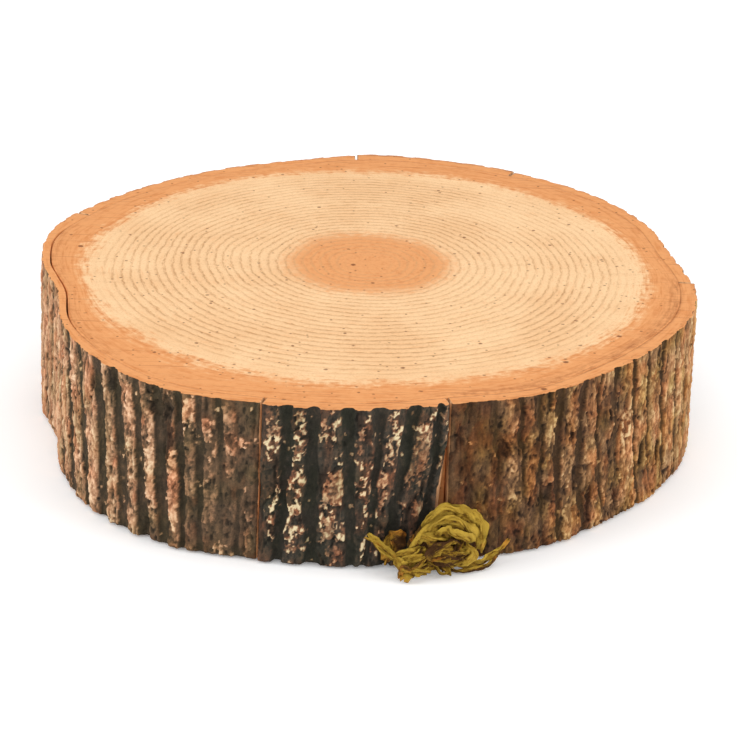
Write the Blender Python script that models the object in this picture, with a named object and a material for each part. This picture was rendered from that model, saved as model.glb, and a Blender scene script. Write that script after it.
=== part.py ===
"""Decorative wood slice: a sawn disc of a trunk with strips of bark glued round its edge,
and a tuft of preserved moss glued at its foot.

Units are metres, +Z is up, and the origin is on the surface that the slice stands on, under
the middle of its outline. The front, where the moss is, faces -Y. An azimuth is measured at
the origin, from the front towards +X, in degrees.
"""

import math
from typing import NamedTuple

import bmesh
import bpy
import numpy as np

MM = 0.001

# The slice
THICKNESS = 72 * MM
# Outside radius of the bark in millimetres, every 15 degrees of azimuth
OUTLINE_MM = (155, 150, 151.5, 147.5, 146.5, 147.5, 146, 143.5, 149, 153, 154.5, 154.5,
              155, 148.5, 146.5, 145.5, 147, 148.5, 144.5, 139.5, 149, 158, 162.5, 157.5)
PITH = np.array((0.8, 11.1)) * MM

# The wood disc and its growth rings
DISC_SEGMENTS = 66
EDGE_CHAMFER = 0.8 * MM
RING_COUNT = 12
FIRST_RING, LAST_RING = 0.26, 0.85   # shares of the way from the pith to the disc's edge
RING_GROOVE_WIDTH = 1.4 * MM
RING_GROOVE_DEPTH = 0.5 * MM
RING_SOFTENING = 6                   # segments each way over which a ring evens out the edge

# The bark strips
BARK_THICKNESS = 6.6 * MM
THIN_BARK = 2.4 * MM                 # how much thinner it is at the left
THIN_SPAN = (246, 262, 298, 318)     # azimuths from and to which it thins, and back again
GLUE_GAP = 0.4 * MM
FURROW_DEPTH = 3.5 * MM
SHALLOWEST_FURROW = 0.45             # of those spread by rule, as a share of the depth
FURROW_JITTER = 0.12                 # along the strip, as shares of the furrows' pitch
FURROW_SWING = 0.20                  # of a furrow's top and foot, as the same share
FURROW_FLOOR = 0.13                  # half its width, as a share of the way to the next furrow
RIDGE_SHOULDER = 0.27                # where a ridge's shoulders are, as the same share
RIDGE_VARIATION = 0.7 * MM
STRIP_END_DROP = 0.8 * MM            # a strip is thinner at its two ends
LOOSE_SPAN = (0.2, 0.55)             # shares from a strip's middle, all loose to all glued
BARK_ROWS = 9
BARK_FOOT = 0.7 * MM                 # the bark ends just above the surface
BARK_TOP_DROP = 0.3 * MM
EDGE_ROUNDING = 0.7 * MM
LEAN_TOP, LEAN_FOOT = 0.85, 0.35     # heights, as shares, between which an end leans back

# Furrows that the photograph shows: azimuth at the top, half way down and at the foot, and
# depth at the same three heights as a share of the full depth
FRONT_FURROWS = (
    (-11.0, -11.3, -12.2, 0.8, 1.0, 1.0), (-7.0, -7.4, -7.0, 1.0, 1.0, 1.0),
    (-1.7, -0.9, -0.5, 1.0, 0.8, 0.6), (2.7, 2.5, 1.1, 1.0, 0.7, 0.6),
    (8.6, 6.2, 4.5, 1.0, 1.0, 0.9), (12.7, 12.0, 9.3, 1.0, 1.0, 0.9),
)
RIGHT_FURROWS = (
    (16.8, 17.5, 18.3, 0.3, 0.3, 0.2), (21.7, 22.7, 24.2, 0.5, 0.35, 0.35),
    (26.1, 27.1, 28.4, 0.7, 0.4, 0.3), (29.6, 30.2, 31.3, 0.5, 0.5, 0.3),
    (33.3, 33.2, 34.3, 1.0, 0.9, 0.5), (38.9, 38.5, 40.8, 1.0, 0.7, 0.6),
    (42.8, 42.8, 46.2, 0.9, 0.6, 0.3), (47.2, 47.6, 50.8, 1.0, 0.4, 0.3),
    (51.8, 53.0, 55.8, 0.9, 0.5, 0.6), (56.8, 57.5, 60.6, 0.7, 0.5, 0.3),
    (62.0, 62.6, 65.4, 0.9, 0.5, 0.5), (66.9, 68.3, 70.1, 0.5, 0.4, 0.4),
    (72.0, 73.5, 74.5, 0.4, 0.3, 0.3), (77.0, 78.0, 79.0, 0.4, 0.3, 0.3),
    (81.5, 82.5, 83.5, 0.4, 0.4, 0.3), (86.0, 86.8, 87.2, 0.4, 0.3, 0.4),
)
LEFT_FURROWS = (
    (250.0, 250.4, 249.6, 0.4, 0.3, 0.4), (254.6, 254.2, 254.8, 0.3, 0.4, 0.3),
    (259.0, 259.4, 258.8, 0.3, 0.3, 0.4), (263.4, 263.0, 263.6, 0.3, 0.3, 0.3),
    (267.8, 268.2, 267.4, 0.3, 0.3, 0.3), (272.0, 272.6, 272.2, 0.3, 0.3, 0.4),
    (276.4, 276.0, 276.8, 0.3, 0.3, 0.3), (280.6, 280.2, 281.0, 0.3, 0.3, 0.3),
    (285.0, 284.4, 285.6, 0.4, 0.3, 0.3), (289.4, 289.0, 290.4, 0.3, 0.4, 0.4),
    (294.0, 294.4, 295.4, 0.4, 0.3, 0.4), (298.6, 299.6, 301.0, 0.4, 0.4, 0.5),
    (303.0, 305.0, 306.6, 0.5, 0.6, 0.5), (308.6, 310.8, 312.6, 0.6, 0.5, 0.8),
    (314.8, 316.6, 317.2, 0.7, 1.0, 1.0), (319.4, 321.2, 322.2, 1.0, 0.8, 0.9),
    (324.4, 325.4, 326.6, 0.5, 0.9, 1.0), (328.4, 329.4, 330.0, 0.7, 1.0, 0.8),
    (332.2, 332.9, 333.3, 0.9, 0.7, 0.7), (335.4, 335.8, 335.9, 0.4, 0.6, 0.5),
    (338.4, 338.8, 338.9, 0.7, 0.3, 0.3), (341.4, 341.7, 341.6, 0.25, 0.3, 0.6),
)


class BarkStrip(NamedTuple):
    """One piece of bark, from its first to its last azimuth. Lengths are in mm."""
    name: str
    material: str
    first: float
    last: float
    proud: float        # how far it stands out of the outline
    seed: int
    furrows: tuple = ()
    spread: int = 0     # how many furrows are spread over it by rule, where none are listed
    lean: float = 0     # how far its last end leans back at the foot
    loose: float = 0    # how far it has come away from the disc


BARK_STRIPS = (
    BarkStrip("bark_front", "bark_lichened", -14.9, 14.1, 1.0, 11, FRONT_FURROWS, lean=4.6),
    BarkStrip("bark_right", "bark_flaky", 14.5, 90.3, 0.4, 12, RIGHT_FURROWS, loose=0.5),
    BarkStrip("bark_right_rear", "bark_flaky", 90.7, 153.3, -1.0, 13, spread=13),
    BarkStrip("bark_rear", "bark_ridged", 153.7, 182.5, 0.2, 14, spread=5),
    BarkStrip("bark_left_rear", "bark_ridged", 182.9, 245.1, -0.8, 15, spread=13),
    BarkStrip("bark_left", "bark_ridged", 245.5, 344.7, 0.0, 16, LEFT_FURROWS, loose=0.5),
)

# The moss tuft. Places are in mm: along the bark to the right, out from it, and up.
MOSS_AZIMUTH = 12.3
MOSS_GAP = 0.4 * MM                  # clear of the bark's ridges and of the surface
MOSS_CORE_CENTRE = (2.0, 7.0, 13.0)
MOSS_CORE_RADII = (14.5, 6.5, 11.0)
RIBBON_THICKNESS = 1.1 * MM
RIBBON_SAMPLES = 12
RIBBON_CORNERS = ((1, 1), (-1, 1), (-1, -1), (1, -1))     # of its section: wide, thick
RIBBON_TIP = 0.4                     # width of a ribbon's tip, as a share of its middle
RIBBON_ROLL = 0.35                   # how far a ribbon rolls about its path, in radians
FILLER_RIBBONS = 7
FILLER_SEED = 5
# The width of each ribbon, and the places that it passes
MOSS_RIBBONS = (
    (6.4, ((-6, 7, 15), (-4, 10, 22.5), (1, 11, 27.5), (8.5, 12, 28.5), (14, 13, 24),
           (16.5, 13, 16.5), (16.5, 11, 9.5))),
    (5.6, ((-2.5, 10, 16), (-3, 13, 23), (2, 14, 25.5), (8, 15, 23.5), (12.5, 14.5, 19), (10, 11, 14))),
    (5.0, ((-1.5, 12, 17), (1, 15.5, 21), (5, 16.5, 20.5), (11.5, 15, 16.5), (10, 11, 13))),
    (6.0, ((-7, 8, 11), (-6.5, 12, 17), (-2, 14, 18), (4, 13, 17.5))),
    (4.6, ((8, 11, 15), (5, 16.5, 17.5), (-1, 16.5, 16.5), (-3.5, 16, 13.5), (0, 16, 10.5),
           (5.5, 12, 11))),
    (5.6, ((6, 12, 14), (12, 15, 10), (9, 15, 6.5), (3, 10, 4))),
    (5.4, ((-6, 9, 8), (0, 15, 8), (6, 15, 7.5), (12, 10, 9))),
    (3.6, ((-27.5, 4.5, 18), (-24.5, 6, 14.5), (-20.5, 8, 11), (-16.5, 10, 8.5), (-9, 9, 9))),
    (4.8, ((-17, 10, 9), (-13, 12, 11.5), (-8.5, 13, 12.5), (-1, 11, 10.5))),
    (4.6, ((-16, 12, 8), (-11, 14, 9), (-6, 14, 8.5), (0, 10, 7))),
    (4.6, ((-15, 13, 6.5), (-11, 14.5, 6), (-6, 14.5, 5), (2, 9, 5))),
    (5.0, ((-8, 12, 8.5), (-14, 15, 8.5), (-15.5, 15.5, 4.5), (-14, 15.5, 1.2))),
    (3.4, ((0, 10, 6), (2, 14.5, 4), (4, 15, 1.2))),
    (4.4, ((2, 9, 5), (11, 11, 2.8), (18, 9, 2.8), (25, 7, 5), (31.5, 5, 9.5))),
    (4.2, ((-4, 8, 12), (-8, 8, 15), (-9.5, 7, 18))),
)
CLEARANCE_SPAN = 25                  # degrees each way of the moss that its cutters reach
CUTTER_DEPTH = 20 * MM
SKIN_GRAIN = 0.7 * MM                # of the skin drawn over the joined ribbons
MOSS_FACES = 3600

COLOURS = {                          # linear RGB and roughness
    "sawn_wood": ((0.86, 0.57, 0.30), 0.62),
    "bark_ridged": ((0.20, 0.135, 0.09), 0.9),
    "bark_lichened": ((0.09, 0.075, 0.06), 0.9),
    "bark_flaky": ((0.155, 0.095, 0.055), 0.9),
    "moss": ((0.32, 0.26, 0.035), 0.85),
}


def outline_radius(azimuth):
    """The bark's outside radius at azimuths in radians: a closed Catmull-Rom curve."""
    radii = np.array(OUTLINE_MM) * MM
    station = np.degrees(azimuth) % 360 / 360 * len(radii)
    first = np.floor(station).astype(int)
    t = station - first
    a, b, c, d = (radii[(first + step - 1) % len(radii)] for step in range(4))
    return 0.5 * (2 * b + (c - a) * t + (2 * a - 5 * b + 4 * c - d) * t**2
                  + (3 * b - a - 3 * c + d) * t**3)


def disc_radius(azimuth):
    """The wood disc's radius: what the bark leaves, and the bark is thinner at the left."""
    degrees = np.degrees(azimuth) % 360
    thinning, thin, thickening, thick = THIN_SPAN
    left = smooth_step(thinning, thin, degrees) * (1 - smooth_step(thickening, thick, degrees))
    return outline_radius(azimuth) - BARK_THICKNESS + THIN_BARK * left


def plan_point(azimuth, radius):
    """X and Y at an azimuth in radians and a distance from the origin, in the last axis."""
    return np.stack([radius * np.sin(azimuth), -radius * np.cos(azimuth)], -1)


def smooth_step(low, high, value):
    t = np.clip((value - low) / (high - low), 0, 1)
    return t * t * (3 - 2 * t)


def add_object(name, points, faces, material):
    """A closed mesh object, its faces turned outwards, shaded smooth with crisp edges."""
    mesh = bpy.data.meshes.new(name)
    mesh.from_pydata([tuple(point) for point in points], [], faces)
    shape = bmesh.new()
    shape.from_mesh(mesh)
    bmesh.ops.recalc_face_normals(shape, faces=shape.faces)
    shape.to_mesh(mesh)
    shape.free()
    mesh.shade_smooth()
    mesh.set_sharp_from_angle(angle=math.radians(40))
    mesh.materials.append(material)
    made = bpy.data.objects.new(name, mesh)
    bpy.context.scene.collection.objects.link(made)
    return made


def grid_faces(rows, columns, first=0, closed=False):
    """Quads between the rows of points numbered row by row from first."""
    faces = []
    for row in range(rows - 1):
        for column in range(columns if closed else columns - 1):
            here = first + row * columns + column
            beside = first + row * columns + (column + 1) % columns
            faces.append((here, beside, beside + columns, here + columns))
    return faces


def ring_plan(share, edge):
    """A growth ring in plan: round near the pith, and softly shaped like the edge further out."""
    spokes = edge - PITH
    reach = np.linalg.norm(spokes, axis=1)
    steps = range(-RING_SOFTENING, RING_SOFTENING + 1)
    softened = np.mean([np.roll(reach, step) for step in steps], axis=0)
    blend = smooth_step(0.2, 0.9, share)
    radius = share * ((1 - blend) * reach.mean() + blend * softened)
    return PITH + spokes / reach[:, None] * radius[:, None]


def wood_disc(material):
    """The sawn disc, with its growth rings as fine grooves between flat lands."""
    azimuth = np.linspace(0, 2 * math.pi, DISC_SEGMENTS, endpoint=False)
    edge = plan_point(azimuth, disc_radius(azimuth))
    mean_reach = np.linalg.norm(edge - PITH, axis=1).mean()
    half_groove = RING_GROOVE_WIDTH / 2 / mean_reach
    inner_edge = plan_point(azimuth, disc_radius(azimuth) - EDGE_CHAMFER)
    loops = []
    for share in np.linspace(FIRST_RING, LAST_RING, RING_COUNT):
        for offset, depth in ((-half_groove, 0), (0, RING_GROOVE_DEPTH), (half_groove, 0)):
            loops.append((ring_plan(share + offset, edge), THICKNESS - depth))
    loops.append((inner_edge, THICKNESS))
    loops.append((edge, THICKNESS - EDGE_CHAMFER))
    loops.append((edge, EDGE_CHAMFER))
    loops.append((inner_edge, 0))
    points = [(x, y, z) for plan, z in loops for x, y in plan]
    last = (len(loops) - 1) * DISC_SEGMENTS
    faces = grid_faces(len(loops), DISC_SEGMENTS, closed=True)
    faces.append(tuple(range(DISC_SEGMENTS)))
    faces.append(tuple(range(last, last + DISC_SEGMENTS)))
    return add_object("wood_disc", points, faces, material)


def spread_furrows(strip):
    """Furrows spaced evenly over a strip, give or take a little, as rows like the listed ones."""
    random = np.random.default_rng(strip.seed)
    pitch = (strip.last - strip.first) / (strip.spread + 1)
    place = np.arange(1, strip.spread + 1) + random.uniform(-FURROW_JITTER, FURROW_JITTER,
                                                            strip.spread)
    swing = random.uniform(-FURROW_SWING, FURROW_SWING, (2, strip.spread))
    azimuths = strip.first + pitch * (place + np.array([swing[0], 0 * place, swing[1]]))
    depths = random.uniform(SHALLOWEST_FURROW, 1, (3, strip.spread))
    return np.vstack([azimuths, depths]).T


def furrow_lines(strip, height):
    """The azimuth in degrees and the depth of each furrow, in a row for each height.

    Both follow a parabola through their values at the top, half way down and at the foot.
    """
    furrows = np.array(strip.furrows or spread_furrows(strip))
    up = height[:, None] / THICKNESS
    weights = np.hstack([up * (2 * up - 1), 4 * up * (1 - up), (1 - up) * (1 - 2 * up)])
    depth_share = np.clip(weights @ furrows[:, 3:].T, 0, 1)
    return weights @ furrows[:, :3].T, FURROW_DEPTH * depth_share


def bark_relief(furrow, depth, seed):
    """How far along a strip its points are, as shares, and how far out or in each one stands.

    From end to end they are a strip end, then two shoulders for each ridge with the two edges
    of a furrow's floor between ridges, and the other end. The furrows' places come as shares
    of the strip, in a row for each height, as do both results.
    """
    rows, ridges = len(furrow), furrow.shape[1] + 1
    bounds = np.hstack([np.zeros((rows, 1)), furrow, np.ones((rows, 1))])
    random = np.random.default_rng(seed + 100)
    ridge_height = random.uniform(-RIDGE_VARIATION, RIDGE_VARIATION, (rows, 2 * ridges))
    strip_end = np.full(rows, -STRIP_END_DROP)
    share, relief = [bounds[:, 0]], [strip_end]
    for ridge in range(ridges):
        low, width = bounds[:, ridge], bounds[:, ridge + 1] - bounds[:, ridge]
        if ridge > 0:
            share.append(low + FURROW_FLOOR * width)
            relief.append(-depth[:, ridge - 1])
        for side, place in ((0, RIDGE_SHOULDER), (1, 1 - RIDGE_SHOULDER)):
            share.append(low + place * width)
            relief.append(ridge_height[:, 2 * ridge + side])
        if ridge < ridges - 1:
            share.append(low + (1 - FURROW_FLOOR) * width)
            relief.append(-depth[:, ridge])
    share.append(bounds[:, -1])
    relief.append(strip_end)
    share, relief = np.stack(share, 1), np.stack(relief, 1)
    relief[[0, -1]] -= EDGE_ROUNDING
    return share, relief


def bark_strip(strip, materials):
    """A strip of bark bent round the disc, its outside raised in ridges between furrows."""
    first, last = math.radians(strip.first), math.radians(strip.last)
    mean_radius = outline_radius(np.linspace(first, last, DISC_SEGMENTS)).mean()
    height = np.linspace(BARK_FOOT, THICKNESS - BARK_TOP_DROP, BARK_ROWS)
    lean = 1 - smooth_step(LEAN_FOOT, LEAN_TOP, height / THICKNESS)
    length = (last - lean * strip.lean * MM / mean_radius - first)[:, None]
    furrow, depth = furrow_lines(strip, height)
    share, relief = bark_relief((np.radians(furrow) - first) / length, depth, strip.seed)

    azimuth = first + share * length
    outside = plan_point(azimuth, outline_radius(azimuth) + strip.proud * MM + relief)
    inside_azimuth = azimuth[[0, -1]]
    from_middle = abs(inside_azimuth - (first + last) / 2) / (last - first)
    lift = strip.loose * MM * (1 - smooth_step(*LOOSE_SPAN, from_middle))
    inside = plan_point(inside_azimuth, disc_radius(inside_azimuth) + GLUE_GAP + lift)

    rows, columns = share.shape
    points = [(*outside[row, column], height[row])
              for row in range(rows) for column in range(columns)]
    for row in (0, 1):
        points += [(*inside[row, column], height[-row]) for column in range(columns)]
    outer_top = (rows - 1) * columns
    inner_foot, inner_top = rows * columns, (rows + 1) * columns
    faces = grid_faces(rows, columns) + grid_faces(2, columns, inner_foot)
    for column in range(columns - 1):
        for outer, inner in ((0, inner_foot), (outer_top, inner_top)):
            faces.append((outer + column, outer + column + 1,
                          inner + column + 1, inner + column))
    for column in (0, columns - 1):
        side = [row * columns + column for row in range(rows)]
        faces.append((*side, inner_top + column, inner_foot + column))
    return add_object(strip.name, points, faces, materials[strip.material])


def foot_point(along, out, up):
    """A place by the bark's foot: mm to the right along the bark, out from it, and up."""
    centre = math.radians(MOSS_AZIMUTH)
    azimuth = centre + along * MM / outline_radius(np.array(centre))
    plan = plan_point(azimuth, outline_radius(azimuth) + out * MM)
    return np.append(plan, up * MM)


def smooth_path(corners, samples):
    """Points along a Catmull-Rom curve through the corners."""
    corners = np.asarray(corners, float)
    padded = np.vstack([2 * corners[0] - corners[1], corners, 2 * corners[-1] - corners[-2]])
    place = np.linspace(0, len(corners) - 1, samples)
    first = np.minimum(place.astype(int), len(corners) - 2)
    t = (place - first)[:, None]
    a, b, c, d = (padded[first + step] for step in range(4))
    return 0.5 * (2 * b + (c - a) * t + (2 * a - 5 * b + 4 * c - d) * t**2
                  + (3 * b - a - 3 * c + d) * t**3)


def ribbon_mesh(name, corners, width, turn, material):
    """A flat curled ribbon with an oblong section, narrower towards its ends.

    Its broad side faces out from the bark, and rolls about the path to and fro by turn.
    """
    path = smooth_path([foot_point(*corner) for corner in corners], RIBBON_SAMPLES)
    tangent = np.gradient(path, axis=0)
    tangent /= np.linalg.norm(tangent, axis=1, keepdims=True)
    outward = path - [0, 0, 1] * path
    outward /= np.linalg.norm(outward, axis=1, keepdims=True)
    across = np.cross(outward, tangent)
    across /= np.linalg.norm(across, axis=1, keepdims=True)
    face = np.cross(tangent, across)
    place = np.linspace(0, 1, RIBBON_SAMPLES)
    roll = (turn * np.sin(2.5 * math.pi * place))[:, None]
    wide = np.cos(roll) * across + np.sin(roll) * face
    thick = np.cos(roll) * face - np.sin(roll) * across
    taper = RIBBON_TIP + (1 - RIBBON_TIP) * np.sqrt(np.sin(math.pi * place))
    half_width = (width / 2 * MM * taper)[:, None]
    points = [path + wide * half_width * side + thick * RIBBON_THICKNESS / 2 * face_side
              for side, face_side in RIBBON_CORNERS]
    points = np.stack(points, 1).reshape(-1, 3)
    sides = len(RIBBON_CORNERS)
    faces = grid_faces(RIBBON_SAMPLES, sides, closed=True)
    faces.append(tuple(range(sides)))
    faces.append(tuple(range(len(points) - sides, len(points))))
    return add_object(name, points, faces, material)


def filler_ribbons():
    """Short arcs that wind about the tuft's core, as (width, places)."""
    random = np.random.default_rng(FILLER_SEED)
    along, out, up = MOSS_CORE_CENTRE
    along_radius, out_radius, up_radius = MOSS_CORE_RADII
    found = []
    for _ in range(FILLER_RIBBONS):
        start = random.uniform(0, 2 * math.pi)
        sweep = random.uniform(1.2, 2.2) * random.choice((-1, 1))
        reach = random.uniform(0.6, 0.95)
        places = []
        for angle in start + sweep * np.linspace(0, 1, 4):
            depth = out_radius * random.uniform(0.6, 0.95)
            places.append((along + along_radius * reach * math.cos(angle), out + depth,
                           up + up_radius * reach * math.sin(angle)))
        found.append((random.uniform(3.4, 4.8), places))
    return found


def moss_core(material):
    """The lump that the ribbons are wound about, squashed along the bark's face."""
    bpy.ops.mesh.primitive_ico_sphere_add(subdivisions=2, radius=1)
    core = bpy.context.object
    core.name = "moss_tuft"
    for vertex in core.data.vertices:
        place = [centre + radius * share for centre, radius, share
                 in zip(MOSS_CORE_CENTRE, MOSS_CORE_RADII, vertex.co)]
        vertex.co = foot_point(*place)
    core.data.materials.append(material)
    return core


def clearance_cutters():
    """What the moss may not enter: the bark with its ridges, and the surface below."""
    azimuth = np.radians(MOSS_AZIMUTH + np.arange(-CLEARANCE_SPAN, CLEARANCE_SPAN + 1))
    highest_ridge = max(strip.proud for strip in BARK_STRIPS) * MM + RIDGE_VARIATION
    wall = outline_radius(azimuth) + highest_ridge + MOSS_GAP
    plan = np.vstack([plan_point(azimuth, wall), plan_point(azimuth, wall - CUTTER_DEPTH)[::-1]])
    points = [(x, y, z) for z in (-CUTTER_DEPTH, THICKNESS) for x, y in plan]
    count = len(plan)
    faces = grid_faces(2, count, closed=True)
    faces += [tuple(range(count)), tuple(range(count, 2 * count))]
    wall_cutter = add_object("bark_clearance", points, faces, None)

    middle = foot_point(0, 0, 0)
    bpy.ops.mesh.primitive_cube_add(size=1)
    floor_cutter = bpy.context.object
    floor_cutter.name = "surface_clearance"
    floor_cutter.location = (middle[0], middle[1], MOSS_GAP - CUTTER_DEPTH / 2)
    floor_cutter.scale = (THICKNESS * 2, THICKNESS * 2, CUTTER_DEPTH)
    return wall_cutter, floor_cutter


def apply_modifier(target, kind, **settings):
    modifier = target.modifiers.new(kind.lower(), kind)
    for setting, value in settings.items():
        setattr(modifier, setting, value)
    bpy.context.view_layer.objects.active = target
    bpy.ops.object.modifier_apply(modifier=modifier.name)


def keep_largest_piece(target):
    """Drops the scraps and the sealed bubbles that the skin leaves."""
    shape = bmesh.new()
    shape.from_mesh(target.data)
    unseen, pieces = set(shape.faces), []
    while unseen:
        front, piece = [unseen.pop()], []
        while front:
            face = front.pop()
            piece.append(face)
            beside = {other for edge in face.edges for other in edge.link_faces} & unseen
            unseen -= beside
            front += beside
        pieces.append(piece)
    pieces.sort(key=len)
    for piece in pieces[:-1]:
        bmesh.ops.delete(shape, geom=piece, context="FACES")
    shape.to_mesh(target.data)
    shape.free()


def moss_tuft(material):
    """Curled ribbons of moss fused to their core under one skin, and cut clear of the bark."""
    core = moss_core(material)
    strands = bpy.data.collections.new("moss strands")
    bpy.context.scene.collection.children.link(strands)
    ribbons = list(MOSS_RIBBONS) + filler_ribbons()
    for number, (width, corners) in enumerate(ribbons):
        turn = RIBBON_ROLL if number % 2 else -RIBBON_ROLL
        ribbon = ribbon_mesh(f"moss_ribbon_{number}", corners, width, turn, material)
        bpy.context.scene.collection.objects.unlink(ribbon)
        strands.objects.link(ribbon)
    apply_modifier(core, "BOOLEAN", operation="UNION", solver="EXACT", use_self=True,
                   operand_type="COLLECTION", collection=strands)
    for ribbon in list(strands.objects):
        bpy.data.objects.remove(ribbon)
    bpy.data.collections.remove(strands)
    apply_modifier(core, "REMESH", mode="VOXEL", voxel_size=SKIN_GRAIN)
    keep_largest_piece(core)
    apply_modifier(core, "DECIMATE", use_collapse_triangulate=True,
                   ratio=MOSS_FACES / 2 / len(core.data.polygons))
    for cutter in clearance_cutters():
        apply_modifier(core, "BOOLEAN", operation="DIFFERENCE", solver="EXACT", object=cutter)
        bpy.data.objects.remove(cutter)
    keep_largest_piece(core)
    core.data.shade_smooth()
    core.data.set_sharp_from_angle(angle=math.radians(35))
    return core


def make_material(name):
    colour, roughness = COLOURS[name]
    material = bpy.data.materials.new(name)
    material.use_nodes = True
    shader = material.node_tree.nodes["Principled BSDF"]
    shader.inputs["Base Color"].default_value = (*colour, 1)
    shader.inputs["Roughness"].default_value = roughness
    shader.inputs["Metallic"].default_value = 0
    material.diffuse_color = (*colour, 1)
    return material


def main():
    for old in list(bpy.data.objects):
        bpy.data.objects.remove(old)
    materials = {name: make_material(name) for name in COLOURS}
    wood_disc(materials["sawn_wood"])
    for strip in BARK_STRIPS:
        bark_strip(strip, materials)
    moss_tuft(materials["moss"])


main()
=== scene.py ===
# Looks of a decorative wood slice: a sawn disc with growth rings, strips of bark glued round it
# and a tuft of preserved moss at its foot. Metres, +Z up, the front faces -Y.
import math

import bpy
import numpy as np
from mathutils import Matrix, Vector


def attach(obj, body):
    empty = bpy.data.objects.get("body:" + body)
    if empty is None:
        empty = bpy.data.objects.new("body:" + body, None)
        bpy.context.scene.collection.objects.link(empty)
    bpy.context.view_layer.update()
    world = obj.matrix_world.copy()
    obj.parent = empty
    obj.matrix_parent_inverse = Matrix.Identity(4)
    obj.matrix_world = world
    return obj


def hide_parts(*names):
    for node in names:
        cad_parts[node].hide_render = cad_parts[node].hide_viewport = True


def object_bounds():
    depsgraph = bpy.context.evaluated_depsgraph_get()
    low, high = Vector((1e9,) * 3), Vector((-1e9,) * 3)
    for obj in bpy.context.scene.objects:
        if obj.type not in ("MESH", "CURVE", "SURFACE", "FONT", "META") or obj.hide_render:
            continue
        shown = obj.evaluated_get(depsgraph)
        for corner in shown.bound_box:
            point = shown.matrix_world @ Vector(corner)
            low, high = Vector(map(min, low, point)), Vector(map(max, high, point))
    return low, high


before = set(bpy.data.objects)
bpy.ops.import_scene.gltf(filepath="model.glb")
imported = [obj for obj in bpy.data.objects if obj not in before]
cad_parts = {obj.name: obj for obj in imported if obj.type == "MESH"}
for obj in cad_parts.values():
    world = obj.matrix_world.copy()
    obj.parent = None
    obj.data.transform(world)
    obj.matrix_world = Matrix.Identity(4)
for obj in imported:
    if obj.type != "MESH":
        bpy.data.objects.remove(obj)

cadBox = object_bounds()
mm = 0.001

# The trunk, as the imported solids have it
trunk = {
    "height": 72,
    # outside radius of the bark, every 15 degrees of azimuth from the front towards +X
    "outline": (155, 150, 151.5, 147.5, 146.5, 147.5, 146, 143.5, 149, 153, 154.5, 154.5,
                155, 148.5, 146.5, 145.5, 147, 148.5, 144.5, 139.5, 149, 158, 162.5, 157.5),
    "pith": (0.8, 11.1),
    "barkThickness": 6.6, "thinnerLeft": 2.4,
}


def smoothStep(low, high, value):
    t = np.clip((value - low) / (high - low), 0, 1)
    return t * t * (3 - 2 * t)


def outlineRadius(azimuth):
    # a closed curve that passes every listed radius with the slope of its two neighbours
    radii = np.array(trunk["outline"])
    station = np.degrees(azimuth) % 360 / 360 * len(radii)
    first = np.floor(station).astype(int)
    t = station - first
    a, b, c, d = (radii[(first + step - 1) % len(radii)] for step in range(4))
    return 0.5 * (2 * b + (c - a) * t + (2 * a - 5 * b + 4 * c - d) * t**2
                  + (3 * b - a - 3 * c + d) * t**3)


def barkThickness(azimuth):
    # thinner at the left, where the strip has come away from the disc
    degree = np.degrees(azimuth) % 360
    left = smoothStep(246, 262, degree) * (1 - smoothStep(298, 318, degree))
    return trunk["barkThickness"] - trunk["thinnerLeft"] * left


def discRadius(azimuth):
    return outlineRadius(azimuth) - barkThickness(azimuth)


def planPoint(azimuth, radius):
    return np.stack([radius * np.sin(azimuth), -radius * np.cos(azimuth)], -1)


def softNoise(x, y, seed):
    # random heights at whole numbers of x and y, eased smoothly between them, from -1 to 1
    size = 128
    heights = np.random.default_rng(seed).uniform(-1, 1, (size, size))
    x, y = np.broadcast_arrays(np.asarray(x, float), np.asarray(y, float))
    column, row = np.floor(x).astype(int), np.floor(y).astype(int)
    u, v = x - column, y - row
    u, v = u * u * (3 - 2 * u), v * v * (3 - 2 * v)
    west = heights[column % size, row % size] * (1 - v) + heights[column % size, (row + 1) % size] * v
    east = (heights[(column + 1) % size, row % size] * (1 - v)
            + heights[(column + 1) % size, (row + 1) % size] * v)
    return west * (1 - u) + east * u


def roughNoise(x, y, seed, layers=3, fade=0.5):
    # layers of soft noise, each twice as fine and fade times as strong as the one before
    total, strength = 0, 1
    for layer in range(layers):
        total = total + strength * softNoise(x * 2**layer + 17.3 * layer, y * 2**layer, seed + layer)
        strength *= fade
    return total


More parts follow.
